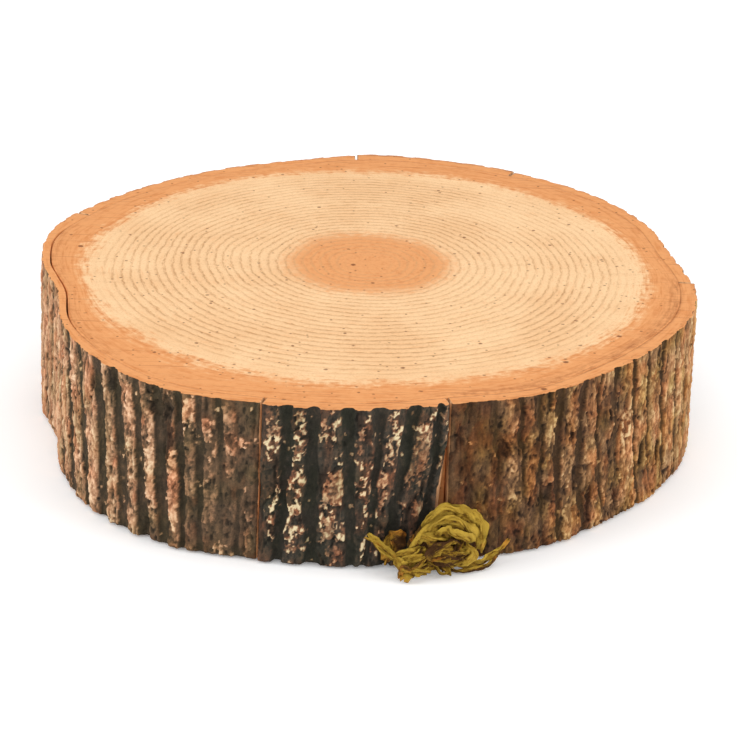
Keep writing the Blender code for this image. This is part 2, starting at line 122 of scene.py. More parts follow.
def plates(x, y, wide, tall, seed):
    # bark plates: each point belongs to the nearest of the jittered centres, measured in plate
    # widths and heights; gives the distance in mm to the plate's border, its own random number
    # and how far above its centre the point is
    size = 128
    random = np.random.default_rng(seed)
    centres, marks = random.uniform(0.08, 0.92, (size, size, 2)), random.uniform(0, 1, (size, size))
    u, v = x / wide, y / tall
    column, row = np.floor(u).astype(int), np.floor(v).astype(int)

    def centre(right, up):
        i, j = column + right, row + up
        return (i + centres[i % size, j % size, 0], j + centres[i % size, j % size, 1],
                marks[i % size, j % size])

    best, mark = np.full(u.shape, 9.0), np.zeros(u.shape)
    bestU, bestV = np.zeros(u.shape), np.zeros(u.shape)
    for right in (-1, 0, 1):
        for up in (-1, 0, 1):
            centreU, centreV, number = centre(right, up)
            distance = np.hypot(u - centreU, v - centreV)
            nearer = distance < best
            best = np.where(nearer, distance, best)
            bestU, bestV = np.where(nearer, centreU, bestU), np.where(nearer, centreV, bestV)
            mark = np.where(nearer, number, mark)
    border = np.full(u.shape, 99.0)
    for right in (-2, -1, 0, 1, 2):
        for up in (-2, -1, 0, 1, 2):
            centreU, centreV, _ = centre(right, up)
            du, dv = centreU - bestU, centreV - bestV
            inside = ((centreU + bestU) / 2 - u) * du + ((centreV + bestV) / 2 - v) * dv
            slope = np.hypot(du / wide, dv / tall)
            nearer = np.minimum(border, inside / np.maximum(slope, 1e-9))
            border = np.where(slope > 1e-9, nearer, border)
    return border, mark, v - bestV


def gridFaces(rows, columns, closed=False):
    # quads between rows of points numbered row by row; closed joins the last column to the first
    row, column = np.meshgrid(np.arange(rows - 1), np.arange(columns if closed else columns - 1),
                              indexing="ij")
    here, beside = row * columns + column, row * columns + (column + 1) % columns
    return np.stack([here, beside, beside + columns, here + columns], -1).reshape(-1, 4)


def addPiece(name, points, quads, caps=(), attributes=None, uv=None, materials=(), rawFaces=None):
    # a mesh from whole arrays: points in mm, quads, larger cap faces, one value a point for each
    # named attribute, a UV place a point, and the faces that take the second material
    mesh = bpy.data.meshes.new(name)
    points = np.asarray(points, float).reshape(-1, 3) * mm
    low, high = np.array(cadBox[0]), np.array(cadBox[1])
    points = np.clip(points, low, high)
    corners = np.concatenate([quads.ravel()] + [np.asarray(cap) for cap in caps]).astype(np.int32)
    sizes = np.array([4] * len(quads) + [len(cap) for cap in caps], np.int32)
    mesh.vertices.add(len(points))
    mesh.vertices.foreach_set("co", points.ravel())
    mesh.loops.add(len(corners))
    mesh.loops.foreach_set("vertex_index", corners)
    mesh.polygons.add(len(sizes))
    starts = np.concatenate([[0], np.cumsum(sizes)[:-1]]).astype(np.int32)
    mesh.polygons.foreach_set("loop_start", starts)
    mesh.update(calc_edges=True)
    for material in materials:
        mesh.materials.append(material)
    if rawFaces is not None:
        index = np.zeros(len(sizes), np.int32)
        index[rawFaces] = 1
        mesh.polygons.foreach_set("material_index", index)
    for label, values in (attributes or {}).items():
        layer = mesh.attributes.new(label, "FLOAT", "POINT")
        layer.data.foreach_set("value", np.asarray(values, np.float32).ravel())
    if uv is not None:
        layer = mesh.uv_layers.new(name="place")
        layer.data.foreach_set("uv", np.asarray(uv, np.float32).reshape(-1, 2)[corners].ravel())
    mesh.validate()
    mesh.shade_smooth()
    piece = bpy.data.objects.new(name, mesh)
    bpy.context.scene.collection.objects.link(piece)
    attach(piece, "root")
    return piece


def rgb(red, green, blue):
    # a screen colour from 0 to 255 as the linear light that the shader works in
    screen = np.array((red, green, blue)) / 255
    linear = np.where(screen < 0.04045, screen / 12.92, ((screen + 0.055) / 1.055) ** 2.4)
    return (*linear.tolist(), 1)


# Shader maths
class Wire:
    # one socket of a node; sums with numbers and other wires add Math nodes
    def __init__(self, finish, socket):
        self.finish, self.socket = finish, socket

    def maths(self, operation, *others):
        return self.finish.node("ShaderNodeMath", {"operation": operation},
                                dict(enumerate((self, *others))))

    def __add__(self, other):
        return self.maths("ADD", other)

    def __sub__(self, other):
        return self.maths("SUBTRACT", other)

    def __mul__(self, other):
        return self.maths("MULTIPLY", other)

    def __truediv__(self, other):
        return self.maths("DIVIDE", other)

    __radd__ = __add__

    def step(self, low, high):
        # 0 below low, 1 above high and smooth between; with low above high it falls instead
        return self.finish.node("ShaderNodeMapRange", {"interpolation_type": "SMOOTHSTEP"},
                                {"Value": self, "From Min": low, "From Max": high})


class Finish:
    # one material: its nodes are added by node(), and surface() sets what the shader shows
    def __init__(self, name):
        self.material = bpy.data.materials.new(name)
        self.material.use_nodes = True
        self.tree = self.material.node_tree
        self.shader = self.tree.nodes["Principled BSDF"]
        self.place = self.node("ShaderNodeTexCoord", output="Object")

    def node(self, kind, settings=None, sockets=None, output=0):
        made = self.tree.nodes.new(kind)
        for setting, value in (settings or {}).items():
            if setting == "stops":
                ramp = made.color_ramp.elements
                while len(ramp) < len(value):
                    ramp.new(1)
                for element, (position, colour) in zip(ramp, value):
                    element.position, element.color = position, colour
            else:
                setattr(made, setting, value)
        for key, value in (sockets or {}).items():
            self.feed(made.inputs[key], value)
        return Wire(self, made.outputs[output])

    def feed(self, socket, value):
        if isinstance(value, Wire):
            self.tree.links.new(value.socket, socket)
        else:
            socket.default_value = value

    def attribute(self, name):
        return self.node("ShaderNodeAttribute", {"attribute_name": name}, output="Fac")

    def stretched(self, x, y, z, source=None):
        # the place multiplied along each axis
        return self.node("ShaderNodeVectorMath", {"operation": "MULTIPLY"},
                         {0: source or self.place, 1: (x, y, z)})

    def noise(self, scale, detail=3, roughness=0.55, source=None):
        # scale is in features a metre; the result runs from 0 to 1 about a half
        return self.node("ShaderNodeTexNoise", {}, {
            "Vector": source or self.place, "Scale": scale, "Detail": detail,
            "Roughness": roughness})

    def spots(self, scale, output, source=None):
        return self.node("ShaderNodeTexVoronoi", {}, {
            "Vector": source or self.place, "Scale": scale}, output=output)

    def blend(self, factor, under, over, kind="MIX"):
        return self.node("ShaderNodeMix", {"data_type": "RGBA", "blend_type": kind},
                         {0: factor, 6: under, 7: over}, output=2)

    def bump(self, height, distance, strength=1):
        return self.node("ShaderNodeBump", {}, {
            "Height": height, "Distance": distance, "Strength": strength})

    def surface(self, colour, roughness, normal=None, specular=0.3):
        self.feed(self.shader.inputs["Base Color"], colour)
        self.feed(self.shader.inputs["Roughness"], roughness)
        self.shader.inputs["Specular IOR Level"].default_value = specular
        if normal:
            self.feed(self.shader.inputs["Normal"], normal)
        return self.material


# Sawn wood
sawnWood = {
    "pale": rgb(247, 206, 158), "paleShade": rgb(238, 192, 142),
    "orange": rgb(229, 158, 99), "orangeDeep": rgb(212, 134, 74),
    "line": rgb(198, 148, 100), "pore": rgb(122, 68, 32), "stain": rgb(164, 98, 52),
    "endDark": rgb(140, 96, 62), "endLight": rgb(224, 172, 124),
    "heart": 0.256, "rim": 0.895,            # shares of the way from the pith to the edge
    # the larger specks: place and radius in mm
    "specks": ((-6, 8, 1.3), (3, -13, 0.9), (-129, 19, 1.4), (-23, 80, 1.0), (-67, -44, 0.9),
               (-25, 51, 0.7), (-30, -89, 0.8), (-8, -73, 0.8), (17, -109, 1.1), (50, -79, 0.9),
               (44, 48, 0.8), (76, -126, 1.5), (83, 42, 0.9), (76, 60, 0.8), (-71, -90, 0.9),
               (-88, -102, 0.9), (86, -96, 1.1), (110, -65, 1.0)),
    "firstRing": 0.26, "ringPitch": 0.59 / 22,
}


def sawnWoodFinish():
    # growth rings drawn on the attribute "share", the way from the pith to the disc's edge
    w, f = sawnWood, Finish("sawn_wood")
    share = f.attribute("share")
    broad, fine = f.noise(22, 4, 0.6), f.noise(1200, 3, 0.72)
    drift, crumble = f.noise(60, 3, 0.5), f.noise(330, 3, 0.65)
    # streaks that run along the rings: the direction from the pith turns slowly, the share fast
    fromPith = f.node("ShaderNodeVectorMath", {"operation": "SUBTRACT"},
                      {0: f.place, 1: (trunk["pith"][0] * mm, trunk["pith"][1] * mm, 0)})
    heading = f.node("ShaderNodeVectorMath", {"operation": "NORMALIZE"},
                     {0: f.stretched(1, 1, 0, fromPith)})
    polar = f.node("ShaderNodeCombineXYZ", {}, {2: share * 95})
    ringwise = f.node("ShaderNodeVectorMath", {"operation": "ADD"},
                      {0: f.stretched(9, 9, 0, heading), 1: polar})
    streak = f.noise(1, 3, 0.65, ringwise)
    dash = f.noise(2.6, 3, 0.65, ringwise)

    # the growth rings: a soft line with a sharper inner side, broken into dashes, and a shade
    turn = (share - w["firstRing"]) / w["ringPitch"]
    phase = (turn + (drift - 0.5) * 0.6 + (crumble - 0.5) * 0.5 + 0.5).maths("FRACT")
    crisp = phase.step(0.30, 0.47) * phase.step(0.74, 0.55)
    soft = phase.step(0.22, 0.48) * phase.step(1.0, 0.5)
    inRings = (share.step(w["heart"] - 0.02, w["heart"] + 0.02)
               * share.step(w["rim"] - 0.005, w["rim"] - 0.14))
    heartRings = share.step(w["heart"] + 0.02, w["heart"] - 0.02) * share.step(0.04, 0.12)
    lines = (crisp * 0.66 + soft * 0.26) * (0.10 + dash.step(0.36, 0.64) * 0.95)
    lines = lines * (inRings * (0.50 + broad.step(0.3, 0.62) * 0.6) + heartRings * 0.55)

    # orange heart and rim, with ragged borders
    ragged = share + (broad - 0.5) * 0.07 + (streak - 0.5) * 0.12 + (crumble - 0.5) * 0.12
    rim = ragged.step(w["rim"] - 0.04, w["rim"] + 0.025)
    heart = ragged + (drift - 0.5) * 0.04 - (broad - 0.5) * 0.05
    heart = heart.step(w["heart"] + 0.05, w["heart"] - 0.055)
    colour = f.blend(broad.step(0.3, 0.7), w["pale"], w["paleShade"])
    colour = f.blend(streak.step(0.5, 0.8) * 0.35, colour, w["orange"])
    colour = f.blend(fine.step(0.50, 0.70) * 0.42, colour, w["line"])
    mottled = streak.step(0.44, 0.72) * 0.8 + (crumble - 0.5) * 1.4
    deep = f.blend(mottled.maths("MINIMUM", 1.0).maths("MAXIMUM", 0.0), w["orange"], w["orangeDeep"])
    colour = f.blend(rim.maths("MAXIMUM", heart * 0.95), colour, deep)
    colour = f.blend(lines.maths("MINIMUM", 1.0), colour, w["line"])

    # saw scratches, straight across the face, stronger in the rim
    sawn = f.noise(1, 2, 0.6, f.stretched(30, 700, 40))
    colour = f.blend(sawn.step(0.56, 0.72) * (0.10 + rim * 0.30), colour, w["stain"])

    # pores: sparse dark dots of several sizes, and short dark crescents along the rings
    front = f.node("ShaderNodeSeparateXYZ", {}, {0: f.place}, output=1).step(0.03, -0.10)
    often = front.maths("MAXIMUM", heart * 1.2) * -0.14
    pores = None
    for scale, size, rarity in ((150, 0.14, 0.72), (260, 0.19, 0.76), (75, 0.085, 0.74)):
        chance = f.node("ShaderNodeSeparateColor", {}, {0: f.spots(scale, "Color")})
        near = f.spots(scale, "Distance") + (fine - 0.5) * 0.2
        dot = near.step(size, size * 0.4) * chance.step(often + rarity, often + (rarity + 0.02))
        pores = dot if pores is None else pores.maths("MAXIMUM", dot)
    fleck = f.noise(3.4, 2, 0.7, ringwise).step(0.67, 0.74) * crumble.step(0.45, 0.6)
    colour = f.blend(pores.maths("MAXIMUM", fleck * 0.6) * 0.75, colour, w["pore"])
    # the larger specks, the one by the pith first
    specks = None
    for x, y, size in w["specks"]:
        away = f.node("ShaderNodeVectorMath", {"operation": "DISTANCE"},
                      {0: f.stretched(1, 1, 0), 1: (x * mm, y * mm, 0)}, output="Value")
        speck = (away / (size * mm) + (crumble - 0.5) * 1.6 + (fine - 0.5) * 0.8).step(1.15, 0.65)
        specks = speck if specks is None else specks.maths("MAXIMUM", speck)
    colour = f.blend(specks * 0.85, colour, w["pore"])

    # brown stain by the glue line and along the bark's edge
    joint = f.attribute("stain")
    blotched = joint * (0.55 + (streak - 0.5) * 2.4 + (crumble - 0.5) * 2.0)
    colour = f.blend(blotched.maths("MINIMUM", 0.9).maths("MAXIMUM", 0.0), colour, w["stain"])
    # the ends of the bark strips are duller, with brown streaks up and down
    ends = share.step(1.1, 1.25)
    endStreak = f.noise(420, 3, 0.6, f.stretched(1, 1, 0.12)).step(0.35, 0.65)
    colour = f.blend(ends, colour, f.blend(endStreak, w["endDark"], w["endLight"]))
    height = lines * -0.5 + fine * 0.22 + sawn * 0.3
    return f.surface(colour, 0.62 + (fine - 0.5) * 0.2, f.bump(height, 0.0004, 0.7), 0.2)


# The three barks: colours from the painted shade on the furrows' floors to cream lichen
barkLooks = {
    "ridged": {
        "ramp": ((0.0, rgb(42, 35, 28)), (0.2, rgb(68, 56, 44)), (0.4, rgb(106, 82, 62)),
                 (0.6, rgb(158, 118, 88)), (0.8, rgb(200, 158, 124)), (1.0, rgb(228, 196, 162))),
        "ruddy": rgb(255, 226, 214), "grey": rgb(226, 238, 226),
    },
    "lichened": {
        "ramp": ((0.0, rgb(36, 34, 30)), (0.25, rgb(58, 54, 47)), (0.4, rgb(86, 71, 58)),
                 (0.55, rgb(128, 94, 70)), (0.7, rgb(158, 128, 98)), (0.85, rgb(192, 172, 134)),
                 (1.0, rgb(216, 198, 160))),
        "ruddy": rgb(255, 222, 212), "grey": rgb(226, 238, 228),
    },
    "flaky": {
        "ramp": ((0.0, rgb(40, 30, 22)), (0.2, rgb(68, 50, 36)), (0.4, rgb(102, 75, 52)),
                 (0.6, rgb(140, 104, 70)), (0.8, rgb(182, 146, 104)), (1.0, rgb(212, 184, 140))),
        "ruddy": rgb(255, 220, 206), "grey": rgb(238, 240, 206),
    },
}


def barkFinish(name):
    # the attribute "level" says how light the bark is at each point, and the shader adds grain
    # too fine for the mesh, and pinkish and greenish tints that leave the grain to be seen
    look, f = barkLooks[name], Finish("bark_" + name)
    level, ruddy, grey = f.attribute("level"), f.attribute("ruddy"), f.attribute("grey")
    fibre = f.noise(620, 4, 0.72, f.stretched(1, 1, 0.45))
    grain = f.noise(1500, 3, 0.75)
    light = level + (fibre - 0.5) * (0.16 + level * 0.42) + (grain - 0.5) * 0.30
    colour = f.node("ShaderNodeValToRGB", {"stops": look["ramp"]}, {0: light})
    colour = f.blend((ruddy + (fibre - 0.5) * 0.6).maths("MINIMUM", 1.0).maths("MAXIMUM", 0.0),
                     colour, look["ruddy"], "MULTIPLY")
    colour = f.blend((grey + (fibre - 0.5) * 0.6).maths("MINIMUM", 1.0).maths("MAXIMUM", 0.0),
                     colour, look["grey"], "MULTIPLY")
    height = fibre * 0.7 + grain * 0.45
    return f.surface(colour, 0.92, f.bump(height, 0.0008, 0.7), 0.12)


print("materials")
sawnMaterial = sawnWoodFinish()
barkMaterials = {name: barkFinish(name) for name in barkLooks}


# The wood disc
# "sink" is how far the face lies under the top of the solids, so that its swells stay below it
disc = {"azimuths": 480, "softening": 60, "grooveDepth": 0.12, "edgeRound": 0.35, "wobble": 0.9,
        "sink": 0.1, "underRings": 26}


def jointGap(azimuth):
    # how far the bark stands off the disc, in mm: a crack at the left, a thin line front right
    degree = np.degrees(azimuth) % 360
    left = smoothStep(248, 262, degree) * smoothStep(312, 292, degree)
    right = smoothStep(14, 30, degree) * smoothStep(92, 84, degree)
    waver = 0.75 + 0.25 * softNoise(degree / 4, 0.5, 31)
    return 0.04 + 0.95 * left * waver + 0.12 * right * waver


def ringPoints(share, edge, wobble):
    # a ring in plan: round near the pith, further out like the edge, softly evened and wavering
    pith = np.array(trunk["pith"])
    spokes = edge - pith
    reach = np.hypot(spokes[:, 0], spokes[:, 1])
    window = 2 * disc["softening"] + 1
    wrapped = np.concatenate([reach[-disc["softening"]:], reach, reach[:disc["softening"]]])
    softened = np.convolve(wrapped, np.ones(window) / window, "valid")
    share = np.asarray(share)[:, None]
    blend = smoothStep(0.25, 1.0, share)
    follow = smoothStep(0.86, 1.0, share)
    shape = softened + (reach - softened) * follow
    radius = share * ((1 - blend) * reach.mean() + blend * shape)
    angle = np.arctan2(spokes[:, 0], -spokes[:, 1])[None, :]
    # the same waver for neighbouring rings, gone at the pith and at the edge
    around = (np.cos(angle) * 2.2 + 40, np.sin(angle) * 2.2 + 40)
    waver = (softNoise(around[0] + share * 3, around[1] + share * 2, 77) * 1.6
             + softNoise(around[0] * 3, around[1] * 3 + share * 9, 78) * 0.5)
    radius = radius + wobble * waver * np.sin(math.pi * np.clip(share, 0, 1)) ** 0.7
    return pith + spokes[None] / reach[None, :, None] * radius[..., None]


def woodDisc():
    # loops about the pith, from it over the sawn face, down the side and back under to the pith
    w, count = sawnWood, disc["azimuths"]
    azimuth = np.linspace(0, 2 * math.pi, count, endpoint=False)
    edge = planPoint(azimuth, discRadius(azimuth))
    rings = np.arange(-9, 24)
    middle = w["firstRing"] + rings * w["ringPitch"]
    stations = (middle[:, None] + w["ringPitch"] * np.array((-0.17, 0, 0.17, 0.5))).ravel()
    stations = stations[stations > 0.008]
    outer = np.linspace(stations[-1] + 0.012, 0.992, 9)
    share = np.concatenate([[0.004], stations, outer])
    phase = (share - w["firstRing"]) / w["ringPitch"]
    groove = np.clip(1 - abs(phase - np.round(phase)) / 0.17, 0, 1)
    groove = groove * smoothStep(0.02, 0.1, share) * smoothStep(0.9, 0.8, share)
    groove = groove * (0.45 + 0.55 * smoothStep(0.22, 0.30, share))
    plan = ringPoints(share, edge, disc["wobble"])
    heading = azimuth[None, :] * 9 / math.pi
    broken = 0.6 + 0.4 * softNoise(heading * 3, share[:, None] * 60, 5)
    z = -disc["grooveDepth"] * groove[:, None] * broken
    swell = 0.06 * softNoise(plan[..., 0] / 5, plan[..., 1] / 5, 6)
    z = z + swell * smoothStep(1, 0.97, share)[:, None]
    z = trunk["height"] - disc["sink"] + np.minimum(z, disc["sink"])
    top = np.concatenate([plan, z[..., None]], -1)

    def loopAt(inset, height):
        flat = planPoint(azimuth, discRadius(azimuth) - inset)
        return np.concatenate([flat, np.full((count, 1), height)], -1)[None]

    r, h = disc["edgeRound"], trunk["height"] - disc["sink"]
    side = [loopAt(r * (1 - math.sin(t)), h - r * (1 - math.cos(t))) for t in (0.5, 1.0, math.pi / 2)]
    side += [loopAt(0, level) for level in np.linspace(h - 2, 2, 12)]
    side += [loopAt(r * (1 - math.cos(t)), r * (1 - math.sin(t))) for t in (0, 0.8, math.pi / 2)]
    underShare = np.linspace(0.985, 0.02, disc["underRings"])
    flat = np.zeros((disc["underRings"], count, 1))
    under = np.concatenate([ringPoints(underShare, edge, 0), flat], -1)
    points = np.concatenate([top, *side, under])
    rows = len(points)
    allShares = np.concatenate([share, np.full(len(side), 1.0), underShare])
    allShares = np.repeat(allShares[:, None], count, 1)
    stain = jointStain(azimuth)[None, :] * smoothStep(0.94, 0.992, allShares)
    stain[len(share):len(share) + len(side)] = 0.5
    first, last = np.arange(count)[::-1], (rows - 1) * count + np.arange(count)
    piece = addPiece("sawn_disc", points, gridFaces(rows, count, closed=True)[:, ::-1],
                     caps=(first[::-1], last[::-1]), materials=(sawnMaterial,),
                     attributes={"share": allShares, "stain": stain})
    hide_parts("wood_disc")
    return piece


def jointStain(azimuth):
    # where brown glue shows beside the joint: most of all front right, a little at the left
    degree = np.degrees(azimuth) % 360
    right = smoothStep(2, 25, degree) * smoothStep(95, 85, degree)
    left = smoothStep(245, 262, degree) * smoothStep(330, 300, degree)
    waver = 0.7 + 0.3 * softNoise(degree / 3, 3.5, 32)
    return np.clip(0.85 * right + 0.35 * left + 0.1, 0, 1) * waver


woodDisc()
print("wood disc")


# The bark strips: azimuths in degrees, lengths in mm
furrows = {"depth": 3.5, "shallowest": 0.45, "jitter": 0.12, "swing": 0.20, "shoulder": 0.25}
# each furrow's azimuth at the top, half way down and at the foot, then its share of the depth there
frontFurrows = (
    (-11.0, -11.3, -12.2, 0.8, 1.0, 1.0), (-7.0, -7.4, -7.0, 1.0, 1.0, 1.0),
    (-1.7, -0.9, -0.5, 1.0, 0.8, 0.6), (2.7, 2.5, 1.1, 1.0, 0.7, 0.6),
    (8.6, 6.2, 4.5, 1.0, 1.0, 0.9), (12.7, 12.0, 9.3, 1.0, 1.0, 0.9),
)
rightFurrows = (
    (16.8, 17.5, 18.3, 0.3, 0.3, 0.2), (21.7, 22.7, 24.2, 0.5, 0.35, 0.35),
    (26.1, 27.1, 28.4, 0.7, 0.4, 0.3), (29.6, 30.2, 31.3, 0.5, 0.5, 0.3),
    (33.3, 33.2, 34.3, 1.0, 0.9, 0.5), (38.9, 38.5, 40.8, 1.0, 0.7, 0.6),
    (42.8, 42.8, 46.2, 0.9, 0.6, 0.3), (47.2, 47.6, 50.8, 1.0, 0.4, 0.3),
    (51.8, 53.0, 55.8, 0.9, 0.5, 0.6), (56.8, 57.5, 60.6, 0.7, 0.5, 0.3),
    (62.0, 62.6, 65.4, 0.9, 0.5, 0.5), (66.9, 68.3, 70.1, 0.5, 0.4, 0.4),
    (72.0, 73.5, 74.5, 0.4, 0.3, 0.3), (77.0, 78.0, 79.0, 0.4, 0.3, 0.3),
    (81.5, 82.5, 83.5, 0.4, 0.4, 0.3), (86.0, 86.8, 87.2, 0.4, 0.3, 0.4),
)
leftFurrows = (
    (250.0, 250.4, 249.6, 0.4, 0.3, 0.4), (254.6, 254.2, 254.8, 0.3, 0.4, 0.3),
    (259.0, 259.4, 258.8, 0.3, 0.3, 0.4), (263.4, 263.0, 263.6, 0.3, 0.3, 0.3),
    (267.8, 268.2, 267.4, 0.3, 0.3, 0.3), (272.0, 272.6, 272.2, 0.3, 0.3, 0.4),
    (276.4, 276.0, 276.8, 0.3, 0.3, 0.3), (280.6, 280.2, 281.0, 0.3, 0.3, 0.3),
    (285.0, 284.4, 285.6, 0.4, 0.3, 0.3), (289.4, 289.0, 290.4, 0.3, 0.4, 0.4),
    (294.0, 294.4, 295.4, 0.4, 0.3, 0.4), (298.6, 299.6, 301.0, 0.4, 0.4, 0.5),
    (303.0, 305.0, 306.6, 0.5, 0.6, 0.5), (308.6, 310.8, 312.6, 0.6, 0.5, 0.8),
    (314.8, 316.6, 317.2, 0.7, 1.0, 1.0), (319.4, 321.2, 322.2, 1.0, 0.8, 0.9),
    (324.4, 325.4, 326.6, 0.5, 0.9, 1.0), (328.4, 329.4, 330.0, 0.7, 1.0, 0.8),
    (332.2, 332.9, 333.3, 0.9, 0.7, 0.7), (335.4, 335.8, 335.9, 0.4, 0.6, 0.5),
    (338.4, 338.8, 338.9, 0.7, 0.3, 0.3), (341.4, 341.7, 341.6, 0.25, 0.3, 0.6),
)
# patches: azimuth and height of the middle, half width, half height, how far they lean to the
# right per mm up, and how light they are, from 0 for black to 1 for cream lichen
frontPatches = (
    (-12.8, 53.4, 3.2, 5.4, 0.1, 1.0), (-12.9, 62.2, 3.0, 4.6, 0, 0.66),
    (-13.1, 68.4, 2.5, 2.2, 0, 0.42), (-9.1, 67.5, 2.2, 2.6, 0.3, 0.72),
    (-9.4, 59.5, 1.7, 2.8, 0.2, 1.0), (-8.1, 61.8, 1.7, 3.4, 0.1, 0.86),
    (-9.1, 52.8, 3.0, 5.8, 0.45, 1.0), (-10.5, 39.4, 3.9, 7.0, 0.3, 1.0),
    (-8.2, 40.6, 2.0, 4.2, 0.1, 0.84), (-9.1, 32.3, 1.2, 2.6, 0, 0.96),
    (-5.6, 59.0, 1.8, 3.0, 0, 0.74), (-5.6, 66.0, 1.8, 2.2, 0, 0.6),
    (-3.1, 65.0, 3.0, 2.0, 0, 0.84), (-4.0, 60.5, 1.5, 4.2, 0, 0.96),
    (-2.2, 59.8, 1.5, 4.2, 0, 0.96), (-2.6, 49.6, 1.3, 3.4, 0.1, 0.8),
    (-3.4, 36.2, 4.6, 8.8, 0.15, 0.68), (-3.6, 28.6, 5.2, 2.0, 0, 1.0),
    (-1.9, 41.3, 1.8, 5.8, 0.1, 1.0), (-4.4, 36.0, 1.5, 4.6, 0.2, 1.0),
    (0.1, 61.0, 2.1, 3.4, 0, 0.8), (1.6, 67.0, 1.5, 3.8, 0, 0.86), (0.1, 53.4, 2.2, 4.2, 0, 0.6),
    (1.5, 48.0, 3.1, 2.0, 0, 0.86), (0.6, 39.6, 3.1, 2.1, 0, 1.0), (0.4, 33.6, 3.9, 2.3, 0, 1.0),
    (3.1, 43.8, 2.6, 3.2, 0, 0.92), (3.1, 33.6, 3.6, 9.0, 0.1, 0.64),
    (2.1, 28.5, 2.7, 2.3, 0.2, 1.0), (3.6, 25.0, 2.2, 2.3, 0, 0.96),
    (1.7, 22.4, 2.0, 3.7, 0.1, 1.0), (5.0, 67.5, 1.9, 3.6, 0, 0.92), (6.0, 62.2, 3.5, 2.5, 0, 0.88),
    (5.0, 53.4, 3.0, 6.4, 0.15, 0.78), (10.0, 62.4, 2.4, 2.3, 0.2, 0.9),
    (11.6, 68.0, 1.5, 3.4, 0, 0.9), (9.7, 50.2, 4.4, 13.5, 0.25, 0.56),
    (6.5, 43.2, 2.5, 5.6, 0.1, 0.5), (6.0, 23.4, 3.0, 6.4, 0.1, 0.5),
    (9.8, 27.8, 2.7, 5.4, 0.1, 0.56), (5.4, 13.1, 4.0, 4.2, 0, 0.5),
    (-12.5, 20.2, 2.0, 9.0, 0.05, 0.98), (-9.4, 25.3, 3.2, 2.6, 0, 1.0),
    (-10.2, 18.2, 2.1, 6.2, 0.05, 1.0), (-8.6, 18.9, 2.2, 5.6, 0, 1.0),
    (-9.5, 12.6, 3.6, 1.9, 0, 0.96), (-5.9, 25.9, 2.0, 4.0, 0.1, 0.92),
    (-4.4, 18.2, 3.4, 6.2, 0.1, 0.84), (-1.7, 17.6, 2.3, 5.2, 0.2, 1.0),
    (-0.6, 16.6, 1.5, 3.4, 0, 0.9), (-9.5, 8.4, 5.2, 1.9, -0.1, 0.94),
    (1.4, 10.0, 2.2, 4.4, 0.15, 0.94), (2.7, 8.0, 2.1, 1.8, 0, 0.9),
    (12.1, 41.3, 1.3, 6.4, 0.2, 0.8), (-3.5, 8.0, 4.5, 4.0, 0, 0.5),
    (-2.6, 57.0, 2.0, 1.6, 0, 0.24),
)
rightPatches = (
    (24.2, 60, 2.7, 11, 0, 0.50), (27.4, 62, 2.6, 8, 0, 0.46), (31.8, 56, 3.0, 8, 0, 0.60),
    (36.2, 64, 2.8, 12, 0, 0.56), (36.2, 41.5, 3.3, 6.5, 0, 0.58), (34.9, 33.5, 3.2, 6.5, 0, 0.62),
    (43.8, 10, 4.4, 9.5, 0, 0.66), (37.0, 10.5, 3.8, 9, 0, 0.60), (52.4, 9.5, 8, 7, 0, 0.68),
    (27.4, 47.5, 3.4, 7.5, 0, 0.50), (27.8, 32, 3.0, 8, 0, 0.54), (25.2, 34.5, 2.0, 12, 0, 0.54),
    (31.4, 35, 2.5, 7, 0, 0.54), (41.0, 44, 3.4, 12, 0, 0.58), (45.0, 54.5, 2.4, 10, 0, 0.36),
    (54.9, 41.5, 2.8, 17, 0, 0.66), (50.3, 41, 3.2, 9, 0, 0.90), (51.0, 26, 4.2, 16, 0, 0.80),
    (64.5, 34, 6.0, 12, 0, 0.80), (59.4, 41.5, 3.2, 9, 0, 0.72), (37.8, 29.5, 2.6, 4, 0, 0.10),
    (31.4, 26, 3.2, 4, 0, 0.12), (23.4, 50, 3.0, 4, 0, 0.20), (32.0, 13, 3.2, 7, 0, 0.50),
    (55.6, 26, 2.2, 7, 0, 0.08), (20.4, 20, 2.6, 6, 0, 0.46), (44.6, 25, 3.0, 5, 0, 0.52),
    (41.2, 12, 1.3, 9, 0, 0.10), (58.8, 58, 2.6, 9, 0, 0.62), (49.6, 62, 2.4, 6, 0, 0.56),
    (48.6, 9, 1.8, 5, 0, 0.14), (69.5, 45, 3, 16, 0, 0.78), (61.6, 20, 1.4, 6, 0, 0.12),
)
